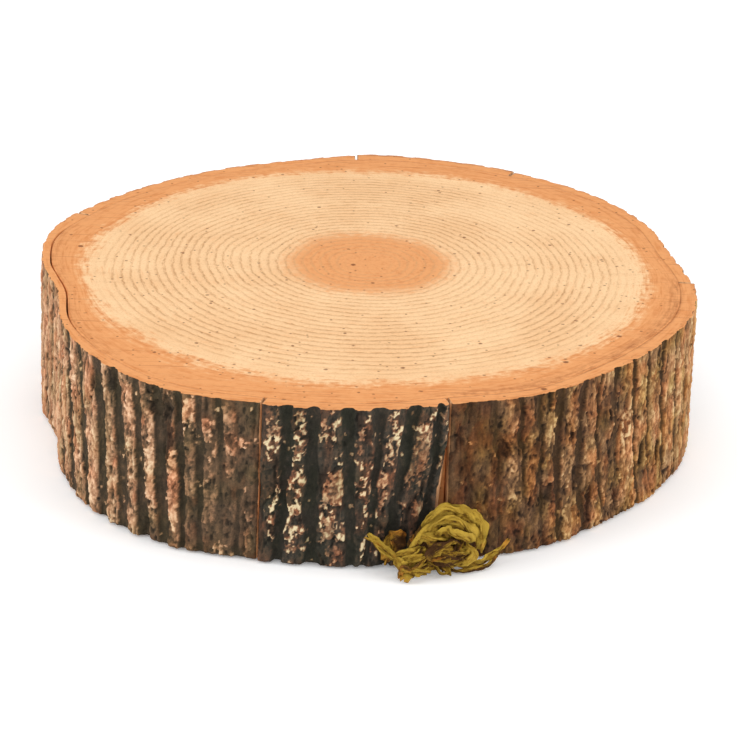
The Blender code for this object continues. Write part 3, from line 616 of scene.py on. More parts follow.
leftPatches = (
    (313.5, 28.5, 4.4, 27, 0, 0.70), (316.8, 59.5, 2.3, 6.0, 0.15, 0.68),
    (318.9, 46, 3.2, 8, 0, 0.64), (319.3, 22.5, 3.5, 20, 0, 0.66), (321.9, 65, 3.8, 5.5, 0, 0.62),
    (323.6, 48, 2.3, 16, -0.1, 0.68), (324.6, 17, 3.0, 17, -0.08, 0.66),
    (326.2, 60, 1.8, 12, -0.05, 0.54), (328.0, 39, 3.4, 23, 0, 0.74), (331.6, 27, 2.6, 16, 0, 0.72),
    (334.4, 37.5, 3.0, 12, 0, 0.42), (334, 64.5, 2.8, 6.5, 0.2, 0.80),
    (332.5, 54.5, 2.0, 5.5, 0.1, 0.94), (336.2, 57, 4.0, 5.5, 0, 0.60),
    (340.0, 62, 2.8, 6.5, 0, 0.50), (340.6, 44, 2.4, 6.5, 0, 0.52), (341.8, 53, 1.3, 2.6, 0, 0.68),
    (337.3, 25.5, 3.4, 10, 0, 0.40), (330.4, 55, 2.4, 15, 0, 0.16), (328.2, 67, 1.8, 3.5, 0, 0.74),
    (300.5, 37, 1.8, 30, 0, 0.84), (306.4, 53.5, 3.0, 9, 0, 0.76), (332.8, 2.5, 2.6, 4.5, 0, 0.46),
    (338.8, 3, 2.0, 2.6, 0, 0.72), (309.0, 20, 2.4, 14, 0, 0.74), (303.2, 16, 2.4, 12, 0, 0.78),
    (343.4, 12, 1.6, 8, 0, 0.44), (330.6, 57.5, 1.0, 2.0, 0, 0.86),
    (338.2, 48, 1.2, 3.6, 0.2, 0.62), (318.6, 66.5, 2.4, 5.5, 0.1, 0.06),
    (327.4, 69.3, 3.2, 2.4, 0, 0.08), (328.2, 61, 2.6, 3.6, 0, 0.12), (326.6, 5, 1.8, 5, 0, 0.12),
)
# what each strip has, unless its own row says otherwise
plainStrip = {
    "patches": (), "grain": 0.7,          # pitch of the mesh in mm
    "plates": (6, 28),                    # width and height of the bark's plates in mm
    "width": 0.9, "carve": 0.75,          # how wide and how deep its furrows are drawn
    "warp": 1.0, "breaks": 0.35,          # how far the furrows wander, how deeply ridges break off
    "rim": 0.4, "lean": 0,                # relief left at the top, lean of the last end at the foot
    "dark": 0.12, "lace": 0,              # lightness of the painted shade on the furrows' floors, gaps in the patches
    "ruddy": 0.4, "flecks": 0.96,
}
# "proud" is how far it stands out of the outline, and "zone" lists azimuths with how light the
# plain bark is there and how much its ridges stand out
barkStrips = (
    {"node": "bark_front", "look": "lichened", "first": -14.9, "last": 14.1, "proud": 1.0,
     "furrows": frontFurrows, "patches": frontPatches, "seed": 11, "lean": 4.6, "grain": 0.5,
     "plates": (6.5, 15), "width": 0.88, "carve": 0.85, "warp": 1.5, "breaks": 0.15, "rim": 1.0,
     "dark": 0.17, "lace": 1.9, "ruddy": 0.36, "flecks": 0.93,
     "zone": ((-15, 0.30, 0.16), (1, 0.28, 0.16), (6, 0.32, 0.20), (14, 0.35, 0.22))},
    {"node": "bark_right", "look": "flaky", "first": 14.5, "last": 90.3, "proud": 0.4,
     "furrows": rightFurrows, "patches": rightPatches, "seed": 12, "grain": 0.5,
     "plates": (6.2, 19), "width": 0.66, "carve": 0.62, "warp": 1.9, "breaks": 0.28, "rim": 0.6,
     "dark": 0.13, "ruddy": 0.42, "flecks": 0.97,
     "zone": ((14, 0.33, 0.16), (23, 0.36, 0.22), (34, 0.42, 0.30), (50, 0.55, 0.34),
              (64, 0.68, 0.34), (90, 0.76, 0.3))},
    {"node": "bark_right_rear", "look": "flaky", "first": 90.7, "last": 153.3, "proud": -1.0,
     "spread": 13, "seed": 13, "plates": (6.2, 19), "width": 0.8, "warp": 1.5, "breaks": 0.3,
     "dark": 0.13, "flecks": 0.97, "zone": ((90, 0.72, 0.3), (110, 0.56, 0.34), (153, 0.54, 0.34))},
    {"node": "bark_rear", "look": "ridged", "first": 153.7, "last": 182.5, "proud": 0.2,
     "spread": 5, "seed": 14, "zone": ((153, 0.54, 0.34), (183, 0.54, 0.34))},
    {"node": "bark_left_rear", "look": "ridged", "first": 182.9, "last": 245.1, "proud": -0.8,
     "spread": 13, "seed": 15, "zone": ((183, 0.54, 0.34), (230, 0.60, 0.34), (245, 0.68, 0.3))},
    {"node": "bark_left", "look": "ridged", "first": 245.5, "last": 344.7, "proud": 0.0,
     "furrows": leftFurrows, "patches": leftPatches, "seed": 16, "grain": 0.5,
     "plates": (5.6, 27), "width": 1.08, "carve": 0.62, "breaks": 0.3, "rim": 0.55,
     "ruddy": 0.30, "flecks": 0.95,
     "zone": ((245, 0.70, 0.3), (292, 0.70, 0.34), (308, 0.64, 0.38), (325, 0.56, 0.36),
              (330, 0.42, 0.24), (335, 0.35, 0.18), (345, 0.33, 0.14))},
)
# "sawnReach" turns mm out from the disc into shares for the wood's finish, and "sawnEnd" is the
# share that marks a strip's sawn ends
barkBody = {"foot": 0.7, "topDrop": 0.15, "leanTop": 0.85, "leanFoot": 0.35,
            "sawnReach": 140, "sawnEnd": 1.4}


def furrowRows(strip):
    # the listed furrows, or as many as "spread" says, evenly spaced and swinging a little
    if "furrows" in strip:
        return np.array(strip["furrows"])
    count, random = strip["spread"], np.random.default_rng(strip["seed"])
    pitch = (strip["last"] - strip["first"]) / (count + 1)
    place = np.arange(1, count + 1) + random.uniform(-furrows["jitter"], furrows["jitter"], count)
    swing = random.uniform(-furrows["swing"], furrows["swing"], (2, count))
    azimuths = strip["first"] + pitch * (place + np.stack([swing[0], 0 * place, swing[1]]))
    return np.vstack([azimuths, random.uniform(furrows["shallowest"], 1, (3, count))]).T


def furrowLines(strip, height):
    # each furrow's azimuth in radians and its depth at each height: curves through the three stated
    rows, up = furrowRows(strip), height[:, None] / trunk["height"]
    weights = np.hstack([up * (2 * up - 1), 4 * up * (1 - up), (1 - up) * (1 - 2 * up)])
    depth = furrows["depth"] * np.clip(weights @ rows[:, 3:].T, 0, 1)
    return np.radians(weights @ rows[:, :3].T), depth


def patchField(strip, along, z, degree, perDegree):
    # mm inside the rim of the patch that each point lies deepest in, and how light that patch is
    seed = strip["seed"]
    x = degree * perDegree + 0.55 * roughNoise(along / 2.2, z / 3.2, seed + 60)
    y = z + 0.9 * roughNoise(along / 2.4, z / 3.0, seed + 63)
    inside, light = np.full(along.shape, -9.0), np.zeros(along.shape)
    for azimuth, level, halfWide, halfTall, lean, tone in strip["patches"]:
        across, up = x - azimuth * perDegree - lean * (y - level), y - level
        reach = ((across / halfWide) ** 4 + (up / halfTall) ** 4) ** 0.25
        depth = (1 - reach) * min(halfWide, halfTall)
        light = np.where(depth > inside, tone, light)
        inside = np.maximum(inside, depth)
    return inside, light


def barkRelief(strip, share, height, length, azimuthAt):
    # height of the bark's outside in mm, and how light and tinted it is at each point: furrows,
    # plates with cracks between them, and small grains on all of it
    seed, (plateWide, plateTall) = strip["seed"], strip["plates"]
    first, last = azimuthAt(height[None, :], 0.0), azimuthAt(height[None, :], 1.0)
    lines, depth = furrowLines(strip, height)
    place = (lines - first.T) / (last - first).T * length
    along, z = np.broadcast_arrays(share * length, height[None, :])
    degree = np.degrees(azimuthAt(height[None, :], share))
    turns, lights, stands = zip(*strip["zone"])
    light, stand = np.interp(degree, turns, lights), np.interp(degree, turns, stands)

    warp = (0.55 * roughNoise(along / 5, z / 9, seed + 40, 2)
            + 0.32 * roughNoise(along / 1.7, z / 2.6, seed + 41, 2)) * strip["warp"]
    away = (along + warp)[..., None] - place[None]
    nearest = abs(away).argmin(-1)
    side = np.take_along_axis(away, nearest[..., None], -1)[..., 0]
    level = np.broadcast_to(np.arange(len(height)), nearest.shape)
    deep = depth[level, nearest]
    padded = np.concatenate([0 * place[:, :1], place, 0 * place[:, :1] + length], 1)
    gapAfter = padded[level, nearest + 2] - padded[level, nearest + 1]
    gapBefore = padded[level, nearest + 1] - padded[level, nearest]
    gap = np.where(side > 0, gapAfter, gapBefore)
    wide = strip["width"] * gap * (0.45 + 0.55 * deep / furrows["depth"])
    wide = wide * (1 + 0.30 * softNoise(nearest * 7.3, z / 8, seed + 42))
    inFurrow = 1 - np.clip(abs(side) / (furrows["shoulder"] * wide), 0, 1) ** 4
    trench = strip["carve"] * deep * inFurrow
    # here and there a ridge breaks off, with rounded ends
    ridgeNumber = nearest + (side > 0)
    broken = smoothStep(0.52, 0.74, softNoise(ridgeNumber * 5.1, (z + 2.2 * warp) / 6.5, seed + 37))
    trench = np.maximum(trench, 1.8 * broken * strip["breaks"])
    inFurrow = np.maximum(inFurrow, broken * strip["breaks"])

    border, mark, above = plates(along + warp, z + 3 * softNoise(along / 6, z / 9, seed + 44),
                                 plateWide, plateTall, seed + 45)
    gape = np.clip(0.45 + 0.9 * softNoise(along / 8, z / 13, seed + 46), 0.05, 1)
    crack = gape * (1 - smoothStep(0.2 * gape, 0.35 + 0.8 * gape, border))
    _, chip, _ = plates(along + 0.7 * roughNoise(along / 2, z / 4, seed + 47, 2),
                        z + 1.5 * softNoise(along / 2, z / 4, seed + 48), 2.1, 4.2, seed + 49)
    shaken = along + 0.4 * softNoise(along / 0.9, z / 0.9, seed + 51)
    _, grit, _ = plates(shaken, z, 1.05, 1.5, seed + 52)
    fine = roughNoise(along / 1.1, z / 1.9, seed + 50, 2, 0.7)
    lumps = roughNoise(along / 4, z / 7, seed + 53, 3, 0.6)
    pit = smoothStep(0.45, 0.95, roughNoise(along / 1.5, z / 2.6, seed + 54, 2, 0.6))

    # long streaks make the ridges' shoulders and hollows
    streak = roughNoise(along / 1.6, z / 14, seed + 55, 3, 0.6)
    ridge = 0.5 * (mark - 0.6) - 0.9 * crack + 0.38 * lumps + 0.28 * streak - 0.3 * above * mark
    rough = 0.30 * (chip - 0.5) + 0.30 * (grit - 0.5) + 0.16 * fine - 0.45 * pit
    relief = -trench + ridge * (1 - inFurrow) + rough * (1 - 0.6 * inFurrow)
    fromEnd = np.minimum(along, length - along)
    relief = relief - 0.6 * (1 - smoothStep(0, 1.2, fromEnd))
    relief = relief - 0.6 * (1 - smoothStep(0, 1.2, height[None, :] - height[0]))

    # crest is 1 on the ridges and falls to 0 down the furrows' walls, where shade is painted below
    crest = 1 - smoothStep(0.45, 0.95, trench + 0.4 * (grit - 0.5) + 0.2 * fine)
    tone = light + stand * (0.62 * (grit - 0.5) + 0.40 * (chip - 0.5) + 0.34 * (mark - 0.5)
                            + 0.30 * lumps + 0.40 * streak + 0.30 * fine - 1.3 * pit - 0.7 * crack)
    inside, patchTone = patchField(strip, along, z, degree, length / (strip["last"] - strip["first"]))
    gaps = smoothStep(0.05, 0.5, roughNoise(along / 2.6, z / 2.8, seed + 61, 2, 0.7))
    ragged = inside + 0.9 * (grit - 0.5) + 0.5 * fine + 0.35 * (chip - 0.5) - strip["lace"] * gaps
    onPatch = smoothStep(-0.15, 0.30, ragged)
    speckle = 0.95 * (grit - 0.5) + 0.40 * fine + 0.5 * (chip - 0.5) + 0.3 * lumps - 0.6 * pit
    speckled = patchTone + speckle * (0.14 + 0.34 * patchTone)
    # cream lichen is thickest near its rim and worn through to brown in its middle
    creamy = smoothStep(0.74, 0.9, patchTone)
    wear = 0.36 * inside + 0.8 * roughNoise(along / 1.6, z / 1.9, seed + 57, 2) + 0.2
    worn = creamy * smoothStep(0.45, 0.75, wear)
    speckled = speckled * (1 - worn) + (0.45 + 0.3 * (grit - 0.5)) * worn
    tone = tone + (speckled - tone) * onPatch * np.where(patchTone < 0.3, 1, 0.35 + 0.65 * crest)
    # painted shade: the bark darkens down the furrows' walls to the lightness of their floors
    floor = strip["dark"] + 0.10 * light + 0.05 * fine + 0.05 * lumps
    tone = floor + (tone - floor) * (0.06 + 0.94 * crest)
    # stray cream grains
    stray = smoothStep(0, 0.02, grit - strip["flecks"]) * smoothStep(-0.2, 0.5, lumps)
    tone = np.maximum(tone, stray * (0.60 + 0.3 * chip))
    relief = relief + onPatch * np.where(patchTone > 0.3, 0.35 * crest, -1.3)
    relief = relief * (1 - (1 - strip["rim"]) * smoothStep(65, 71.5, z))
    relief = np.clip(relief, 1.0 - barkThickness(np.radians(degree)), 0.75)

    ruddy = (strip["ruddy"] + 0.9 * (mark - 0.5) + 0.7 * softNoise(along / 4, z / 6, seed + 58)
             + 0.6 * worn)
    ruddy = ruddy * (0.2 + 0.8 * crest) * (1 - 0.75 * creamy * onPatch * (1 - worn))
    grey = 0.3 + 0.8 * softNoise(along / 7, z / 10, seed + 59) + 0.3 * (1 - crest)
    grey = grey * (1 - 0.9 * creamy * onPatch)
    values = {"level": np.clip(tone, 0, 1), "ruddy": np.clip(ruddy, 0, 1), "grey": np.clip(grey, 0, 1)}
    return relief, values, along, z


def barkStrip(strip):
    # a closed profile, up the outside, across the sawn top, down the inside and back under,
    # carried along the strip from its first to its last azimuth
    first, last = math.radians(strip["first"]), math.radians(strip["last"])
    meanRadius = outlineRadius(np.linspace(first, last, 66)).mean()
    length = meanRadius * (last - first)
    columns, rows = round(length / strip["grain"]) + 1, round(trunk["height"] / strip["grain"]) - 2
    foot, top = barkBody["foot"], trunk["height"] - barkBody["topDrop"]
    height = np.linspace(foot, top, rows)
    share = np.linspace(0, 1, columns)[:, None]

    def azimuthAt(level, way=share):
        # an end leans back towards the foot
        lean = 1 - smoothStep(barkBody["leanFoot"], barkBody["leanTop"], level / trunk["height"])
        return first + way * (last - lean * strip["lean"] / meanRadius - first)

    relief, values, along, z = barkRelief(strip, share, height, length, azimuthAt)

    azimuth = azimuthAt(height[None, :])
    outerRadius = outlineRadius(azimuth) + strip["proud"] + relief
    outside = np.concatenate([planPoint(azimuth, outerRadius), z[..., None]], -1)

    def across(level, steps, outward, edge, ripple):
        # the flat of the strip at one level, from its outside in, or outward from its inside
        turn = azimuthAt(np.array([[level]]))
        inner = discRadius(turn) + jointGap(turn)
        way = np.linspace(0, 1, steps + 2)[None, 1:]
        if outward:
            way = np.linspace(1, 0, steps + 2)[None, 1:-1]
        radius = edge + (inner - edge) * way
        turn = np.broadcast_to(turn, radius.shape)
        lift = ripple * softNoise(turn * 60, radius / 1.7, strip["seed"] + 70)
        return np.concatenate([planPoint(turn, radius), level + lift[..., None]], -1)

    topFace = across(top, 7, False, outerRadius[:, -1:], 0.07)
    levels = np.linspace(top, foot, 8)[1:]
    turn = azimuthAt(levels[None, :])
    inner = np.concatenate([planPoint(turn, discRadius(turn) + jointGap(turn)),
                            np.broadcast_to(levels[None, :, None], (*turn.shape, 1))], -1)
    underFace = across(foot, 3, True, outerRadius[:, :1], 0.0)
    profile = np.concatenate([outside, topFace, inner, underFace], 1)
    around = profile.shape[1]

    def spread(array):
        # an outside value carried over the rest of the profile
        rest = np.broadcast_to(array[:, -1:], (columns, around - rows))
        return np.concatenate([array, rest], 1)

    radius = np.hypot(profile[..., 0], profile[..., 1])
    turnAll = np.arctan2(profile[..., 0], -profile[..., 1])
    edge = discRadius(turnAll)
    attributes = {name: spread(array) for name, array in values.items()}
    attributes["share"] = 1 + (radius - edge) / barkBody["sawnReach"]
    nearJoint = smoothStep(1.4, 0.2, radius - edge) * jointStain(turnAll)
    # the sawn bark is darker by its outside, most of all behind
    degree = np.degrees(turnAll) % 360
    rear = smoothStep(105, 140, degree) * smoothStep(255, 225, degree)
    waver = 0.25 * softNoise(turnAll * 40, radius, 90)
    nearBark = smoothStep(3.6, 6.6, radius - edge) * (0.30 + 0.8 * rear + waver)
    attributes["stain"] = np.clip(np.maximum(nearJoint, nearBark), 0, 1)
    attributes["share"][[0, -1]] = barkBody["sawnEnd"]

    quads = gridFaces(columns, around, closed=True)
    onTop = np.tile((np.arange(around) >= rows - 1) & (np.arange(around) < rows + 8), columns - 1)
    caps = (np.arange(around)[::-1], (columns - 1) * around + np.arange(around))
    rawFaces = np.concatenate([np.flatnonzero(onTop), len(quads) + np.arange(2)])
    piece = addPiece("sculpted_" + strip["node"], profile, quads, caps=caps, attributes=attributes,
                     materials=(barkMaterials[strip["look"]], sawnMaterial), rawFaces=rawFaces)
    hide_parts(strip["node"])
    "bark_" + strip["look"]
    return piece


for strip in barkStrips:
    barkStrip({**plainStrip, **strip})
    print("bark", strip["node"])


# The moss tuft: places in mm, along the bark to the right, out from it and up
moss = {
    "azimuth": 12.3, "thickness": 0.36, "core": (2.0, 6.5, 12.6), "coreRadii": (14.0, 5.6, 10.6),
    "ridge": 1.7, "clear": 0.5,          # highest ridge of the bark, and the gap kept to it
    "bright": rgb(184, 150, 54), "olive": rgb(138, 104, 24), "brown": rgb(70, 42, 14),
    "tip": rgb(196, 126, 44),
    # how many narrower strands lie on each ribbon, and how far they stray from it
    "strands": 1, "stray": 1.5, "fillers": 22,
    # the width of each ribbon, how light and how ruddy it is, and the places that it passes
    "ribbons": (
        (6.4, 1.0, 0.1, ((-6, 7, 15), (-4, 10, 22.5), (1, 11, 27.5), (8.5, 12, 28.5), (14, 13, 24),
                         (16.5, 13, 16.5), (16.5, 11, 9.5))),
        (5.2, 0.9, 0.0, ((-2.5, 10, 16), (-3, 13, 23), (2, 14, 25.5), (8, 15, 23.5),
                         (12.5, 14.5, 19), (10, 11, 14))),
        (4.4, 0.8, 0.0, ((-1.5, 12, 17), (1, 15.5, 21), (5, 16.5, 20.5), (11.5, 15, 16.5),
                         (10, 11, 13))),
        (5.6, 0.9, 0.0, ((-7, 8, 11), (-6.5, 12, 17), (-2, 14, 18), (4, 13, 17.5))),
        (4.6, 0.45, 0.2, ((8, 11, 15), (4, 16, 16.5), (-1, 16.5, 14.5), (-3.5, 15.5, 11), (1, 12, 9))),
        (5.0, 0.6, 0.2, ((6, 12, 14), (12, 15, 10), (9, 15, 6.5), (3, 10, 4))),
        (5.0, 0.5, 0.1, ((-6, 9, 8), (0, 15, 8), (6, 15, 7.5), (12, 10, 9))),
        (3.4, 1.0, 0.3, ((-27.5, 4.5, 18), (-24.5, 6, 14.5), (-20.5, 8, 11), (-16.5, 10, 8.5),
                         (-9, 9, 9))),
        (4.4, 0.6, 0.0, ((-17, 10, 9), (-13, 12, 11.5), (-8.5, 13, 12.5), (-1, 11, 10.5))),
        (4.2, 0.6, 0.0, ((-16, 12, 8), (-11, 14, 9), (-6, 14, 8.5), (0, 10, 7))),
        (4.2, 0.7, 0.0, ((-15, 13, 6.5), (-11, 14.5, 6), (-6, 14.5, 5), (2, 9, 5))),
        (6.4, 0.8, 0.4, ((-4, 13, 8), (-9, 14.5, 7), (-13, 15.5, 5), (-14.5, 16, 0.8))),
        (5.0, 0.7, 0.1, ((-17, 12, 9.5), (-15, 14.5, 6.5), (-11, 15.5, 3.8), (-5, 14, 2.8))),
        (4.6, 0.5, 0.2, ((-4.5, 14, 12.5), (2, 17, 12.5), (7, 16.5, 11), (11, 14, 8))),
        (3.2, 0.8, 0.1, ((0, 10, 6), (2, 14.5, 4), (4, 15, 1.2))),
        (4.0, 0.5, 0.4, ((2, 9, 5), (11, 11, 2.8), (18, 9, 2.8), (25, 7, 5), (31.5, 5, 9.5))),
        (3.6, 0.6, 1.0, ((-4, 8, 12), (-8, 8, 14), (-9.5, 7, 17))),
        (7.2, 0.1, 0.5, ((-21, 4, 5), (-18.5, 4.2, 10), (-16, 4.3, 14.5), (-13.5, 4.4, 18))),
        (3.4, 0.35, 0.3, ((7, 13, 15), (5.5, 17, 12), (2, 17, 9.5), (-3, 15.5, 9.5))),
        (3.2, 0.7, 0.1, ((3, 14, 8), (8, 16, 9.5), (13, 14, 12))),
    ),
}


def mossFinish():
    # olive ribbons, browner towards the tuft's middle as painted shade, with ochre tips and fine ribs
    # along them; the attribute "tone" also carries each ribbon's painted light and shade
    f = Finish("moss")
    tone, tip = f.attribute("tone"), f.attribute("tip")
    place = f.node("ShaderNodeUVMap", {"uv_map": "place"})
    ribs = f.noise(1, 4, 0.65, f.stretched(20, 3.4, 1, place))
    frond = f.noise(1, 3, 0.6, f.stretched(60, 22, 1, place))
    blot, grain = f.noise(190, 4, 0.6), f.noise(1300, 2, 0.6)
    light = tone + (blot - 0.5) * 0.8 + (ribs - 0.5) * 1.3 + (frond - 0.5) * 0.9
    colour = f.node("ShaderNodeValToRGB", {"stops": (
        (0.06, moss["brown"]), (0.42, moss["olive"]), (0.86, moss["bright"]))}, {0: light})
    onTip = (tip + (blot - 0.5) * 0.9 + (ribs - 0.5) * 0.4).step(0.42, 0.95)
    colour = f.blend(onTip * 0.85, colour, moss["tip"])
    colour = f.blend(grain.step(0.56, 0.75) * 0.25, colour, moss["brown"])
    return f.surface(colour, 0.8, f.bump(ribs * 0.9 + frond * 0.5 + grain * 0.2, 0.001, 0.9), 0.2)


def footPoint(place):
    # along the bark, out from it and up, in mm, turned into a point of the part
    along, out, up = np.moveaxis(np.asarray(place, float), -1, 0)
    centre = math.radians(moss["azimuth"])
    azimuth = centre + along / outlineRadius(np.array(centre))
    plan = planPoint(azimuth, outlineRadius(azimuth) + out)
    return np.concatenate([plan, up[..., None]], -1)


def smoothPath(corners, samples):
    # a curve through the corners that passes each with the slope of its two neighbours
    corners = np.asarray(corners, float)
    padded = np.vstack([2 * corners[0] - corners[1], corners, 2 * corners[-1] - corners[-2]])
    place = np.linspace(0, len(corners) - 1, samples)
    first = np.minimum(place.astype(int), len(corners) - 2)
    t = (place - first)[:, None]
    a, b, c, d = (padded[first + step] for step in range(4))
    return 0.5 * (2 * b + (c - a) * t + (2 * a - 5 * b + 4 * c - d) * t**2
                  + (3 * b - a - 3 * c + d) * t**3)


def ribbonGrid(corners, width, seed, samples=72, side=10):
    # a cupped, pleated ribbon: a flat loop of points, its upper face and then its lower one,
    # carried along the path, rolled to and fro, with toothed edges and frayed ends
    random = np.random.default_rng(seed)
    path = footPoint(smoothPath(corners, samples))
    tangent = np.gradient(path, axis=0)
    tangent /= np.linalg.norm(tangent, axis=1, keepdims=True)
    outward = path * [1, 1, 0]
    outward /= np.linalg.norm(outward, axis=1, keepdims=True)
    wide = np.cross(outward, tangent)
    wide /= np.linalg.norm(wide, axis=1, keepdims=True)
    face = np.cross(tangent, wide)
    face *= np.where((face * outward).sum(1, keepdims=True) < 0, -1, 1)
    t = np.linspace(0, 1, samples)
    run = np.cumsum(np.linalg.norm(np.gradient(path, axis=0), axis=1))[:, None]    # mm along the ribbon
    roll = (0.75 * softNoise(t * 3.4, seed, 61) + 0.25 * softNoise(t * 9, seed, 62))[:, None]
    wide, face = np.cos(roll) * wide + np.sin(roll) * face, np.cos(roll) * face - np.sin(roll) * wide
    taper = 0.14 + 0.86 * np.sqrt(np.clip(np.sin(math.pi * (0.03 + 0.93 * t)), 0, 1))
    c = np.cos(np.linspace(0, math.pi, side))          # across the ribbon, close at its edges
    edge = np.sign(c)[None, :]
    teeth = (0.26 * roughNoise(run / 4.6, edge * 3 + 5, seed + 7)
             + 0.13 * softNoise(run / 1.3, edge * 3 + 5, seed + 9))
    reach = width / 2 * 1.12 * taper[:, None] * c[None, :] * (1 + teeth * c[None, :] ** 2)
    cup = random.uniform(0.5, 1.2) * random.choice((-1, 1, 1))
    bow = -cup * width * 0.20 * (c[None, :] ** 2 - 0.4) * taper[:, None]
    pleats = width * 0.03 * np.cos(c[None, :] * (3 + 0.7 * width)
                                   + 3 * softNoise(run / 13, 0 * c[None, :], seed + 10) + seed)
    # folds that slant across it, sharp at their feet
    crumple = 0.62 * roughNoise(run / 4.8, c[None, :] * 2.4 + seed, seed + 8, 3, 0.65)
    slant = (run / 4.4 + c[None, :] * 1.3, run / 11 - c[None, :] * 1.5 + seed)
    crumple = crumple + width * 0.36 * (abs(softNoise(*slant, seed + 12)) - 0.3)
    level = bow + (pleats + crumple) * taper[:, None]
    half = moss["thickness"] / 2 * np.clip(np.sqrt(1 - c**2), 0.12, 1)[None, :]
    half = half * (0.4 + 0.6 * taper[:, None])
    frayed = 1.3 * softNoise(c[None, :] * 4.5 + seed, 3.3, seed + 11)
    frayed = frayed * smoothStep(0.86, 1.0, t)[:, None]
    middle = path[:, None] + wide[:, None] * reach[..., None] + tangent[:, None] * frayed[..., None]
    upper = middle + face[:, None] * (level + half)[..., None]
    lower = middle + face[:, None] * (level - half)[..., None]
    points = np.concatenate([upper, lower[:, ::-1]], 1)
    across = np.concatenate([c, c[::-1]])
    uv = np.stack(np.broadcast_arrays(across[None, :] * width / 20 + seed, t[:, None] * 3), -1)
    # painted light and shade: pleats are lighter on their backs, and each ribbon is lighter towards one
    # edge and darker towards the other
    back = np.clip(0.5 + (pleats + crumple * 0.6) / (width * 0.12), 0, 1)
    shade = 0.6 * (back - 0.5) + 0.55 * c[None, :]
    return points, uv, t, np.concatenate([shade, shade[:, ::-1]], 1)


def fillerPaths(count, seed):
    # short arcs that wind about the middle of the tuft
    random = np.random.default_rng(seed)
    along, out, up = moss["core"]
    wideRadius, outRadius, upRadius = moss["coreRadii"]
    for _ in range(count):
        start, sweep = random.uniform(0, 2 * math.pi), random.uniform(0.9, 2.3)
        angles = start + sweep * random.choice((-1, 1)) * np.linspace(0, 1, 4)
        reach = random.uniform(0.25, 1.0)
        bulge = outRadius * (1.45 - 0.55 * reach) + random.uniform(-1.4, 1.6, 4)
        yield random.uniform(1.6, 4.0), random.uniform(0.1, 0.8), random.uniform(0, 0.4), np.stack([
            along + wideRadius * reach * np.cos(angles), out + bulge,
            up + upRadius * reach * np.sin(angles)], -1)


def mossRibbons():
    # the listed ribbons, the narrower strands that lie on each of them, and the fillers
    random = np.random.default_rng(33)
    for width, light, ruddy, corners in moss["ribbons"]:
        yield width, light, ruddy, corners
        for _ in range(moss["strands"]):
            stray = random.normal(0, moss["stray"], (len(corners), 3)) * (1, 0.5, 1)
            cut = corners if len(corners) < 4 or random.uniform() < 0.5 else corners[:-1]
            yield (width * random.uniform(0.25, 0.5), light + random.uniform(-0.35, 0.25),
                   ruddy + random.uniform(-0.1, 0.25),
                   (np.array(corners) + stray + (0, 0.9, 0))[:len(cut)])
    yield from fillerPaths(moss["fillers"], 21)


def mossTuft():
    # all ribbons in one mesh, over a rough core; nothing enters the bark or the surface
    parts, uvs, tones, tips, quads, caps, start = [], [], [], [], [], [], 0
    centre = footPoint(np.array(moss["core"]) + (0, 6, -1))
    for number, (width, light, ruddy, corners) in enumerate(mossRibbons()):
        points, uv, t, shade = ribbonGrid(corners, width, 100 + number)
        rows, around = points.shape[:2]
        quads.append(gridFaces(rows, around, closed=True) + start)
        caps += [start + np.arange(around)[::-1], start + (rows - 1) * around + np.arange(around)]
        start += rows * around
        # painted shade: each ribbon is darker towards the tuft's middle, and its painted light and
        # shade across its width and on its pleats are added
        reach = np.linalg.norm((points - centre) * [1, 0.6, 1], axis=-1)
        tones.append(light * (0.25 + 0.60 * np.clip((reach - 3) / 10, 0, 1)) + 0.75 * shade)
        nearEnd = smoothStep(0.72, 1.0, t) + smoothStep(0.14, 0.0, t) * 0.3
        tips.append(np.broadcast_to(ruddy + 0.3 * nearEnd[:, None], (rows, around)))
        parts.append(points.reshape(-1, 3))
        uvs.append(uv.reshape(-1, 2))

    # the core: a ball squashed along the bark and made lumpy by noise
    rows, around = 40, 72
    lat, lon = np.meshgrid(np.linspace(0.02, math.pi - 0.02, rows),
                           np.linspace(0, 2 * math.pi, around, endpoint=False), indexing="ij")
    unit = np.stack([np.sin(lat) * np.cos(lon), np.sin(lat) * np.sin(lon), np.cos(lat)], -1)
    lump = 1 + 0.14 * roughNoise(unit[..., 0] * 5 + 9, unit[..., 2] * 5 + unit[..., 1] * 3 + 9, 55, 4)
    reach = unit * np.array(moss["coreRadii"]) * lump[..., None] * 0.92
    core = footPoint(np.array(moss["core"]) + reach)
    quads.append(gridFaces(rows, around, closed=True) + start)
    caps += [start + np.arange(around)[::-1], start + (rows - 1) * around + np.arange(around)]
    parts.append(core.reshape(-1, 3))
    uvs.append(np.stack([lon, lat], -1).reshape(-1, 2))
    # the core takes the darkest brown, as painted shade inside the tuft
    tones.append(np.full(lat.shape, 0.06))
    tips.append(np.zeros(lat.shape))

    points = np.concatenate(parts)
    azimuth = np.arctan2(points[:, 0], -points[:, 1])
    radius = np.hypot(points[:, 0], points[:, 1])
    clear = outlineRadius(azimuth) + moss["ridge"] + moss["clear"]
    radius = np.maximum(radius, clear)
    points[:, :2] = planPoint(azimuth, radius)
    points[:, 2] = np.maximum(points[:, 2], 0.5)
    piece = addPiece("moss_ribbons", points, np.concatenate(quads), caps=caps, uv=np.concatenate(uvs),
                     attributes={"tone": np.concatenate([a.ravel() for a in tones]),
                                 "tip": np.concatenate([a.ravel() for a in tips])},
                     materials=(mossFinish(),))
    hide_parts("moss_tuft")
    return piece


mossTuft()
print("moss")


# Camera: the photograph's view, 22.5 degrees down from 1.8 m
photoWidth = 738
camera = {"distance": 1.8, "elevation": 22.5, "lens": 195.9, "roll": 2.1125,
          "aim": (3.321, -3.933, 35.84), "shift": (-1.875 / photoWidth, -18.674 / photoWidth)}


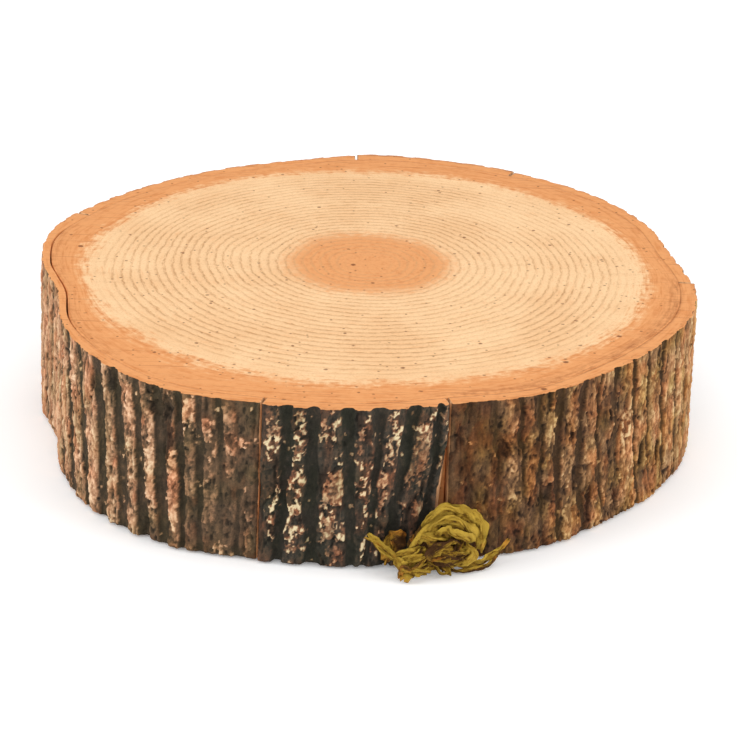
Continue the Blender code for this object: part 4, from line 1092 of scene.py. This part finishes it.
def addCamera():
    tilt, roll = math.radians(camera["elevation"]), math.radians(camera["roll"])
    back = Vector((0, -math.cos(tilt), math.sin(tilt)))
    right = Vector((1, 0, 0))
    up = back.cross(right)
    turned = math.cos(roll) * right + math.sin(roll) * up
    upright = math.cos(roll) * up - math.sin(roll) * right
    data = bpy.data.cameras.new("camera")
    data.lens, data.sensor_width = camera["lens"], 36
    data.shift_x, data.shift_y = camera["shift"]
    data.clip_end = 50
    view = bpy.data.objects.new("camera", data)
    view.matrix_world = Matrix.Translation(Vector(camera["aim"]) * mm + back * camera["distance"]) @ \
        Matrix((turned, upright, back)).transposed().to_4x4()
    bpy.context.scene.collection.objects.link(view)
    bpy.context.scene.camera = view


addCamera()

# Studio: a pale floor and soft lights above, at both sides and in front
lights = (
    # name, place, size, watts
    ("overhead", (0.0, 0.3, 1.9), 2.2, 15),
    ("left", (-1.6, -0.7, 0.7), 1.3, 17),
    ("right", (1.6, -0.7, 0.7), 1.3, 17),
    ("front", (0.0, -2.2, 1.0), 1.4, 14),
)


def addStudio():
    floorFinish = Finish("floor")
    floorFinish.surface(rgb(255, 255, 255), 0.9, specular=0.1)
    floorFinish.shader.inputs["Emission Color"].default_value = rgb(255, 255, 255)
    floorFinish.shader.inputs["Emission Strength"].default_value = 0.12
    mesh = bpy.data.meshes.new("floor")
    half, level = 4.0, -0.0003
    corners = [(x * half, y * half, level) for x, y in ((-1, -1), (1, -1), (1, 1), (-1, 1))]
    mesh.from_pydata(corners, [], [(0, 1, 2, 3)])
    mesh.materials.append(floorFinish.material)
    floor = bpy.data.objects.new("floor", mesh)
    bpy.context.scene.collection.objects.link(floor)
    for name, place, size, watts in lights:
        lamp = bpy.data.lights.new(name, "AREA")
        lamp.size, lamp.energy = size, watts
        holder = bpy.data.objects.new(name, lamp)
        holder.location = place
        towards = Vector((0, 0, 0.04)) - Vector(place)
        holder.rotation_euler = towards.to_track_quat("-Z", "Y").to_euler()
        bpy.context.scene.collection.objects.link(holder)
    world = bpy.data.worlds.new("studio")
    world.use_nodes = True
    world.node_tree.nodes["Background"].inputs["Color"].default_value = (1, 1, 1, 1)
    world.node_tree.nodes["Background"].inputs["Strength"].default_value = 0.48
    bpy.context.scene.world = world
    bpy.context.scene.view_settings.view_transform = "Standard"


addStudio()
print("studio")
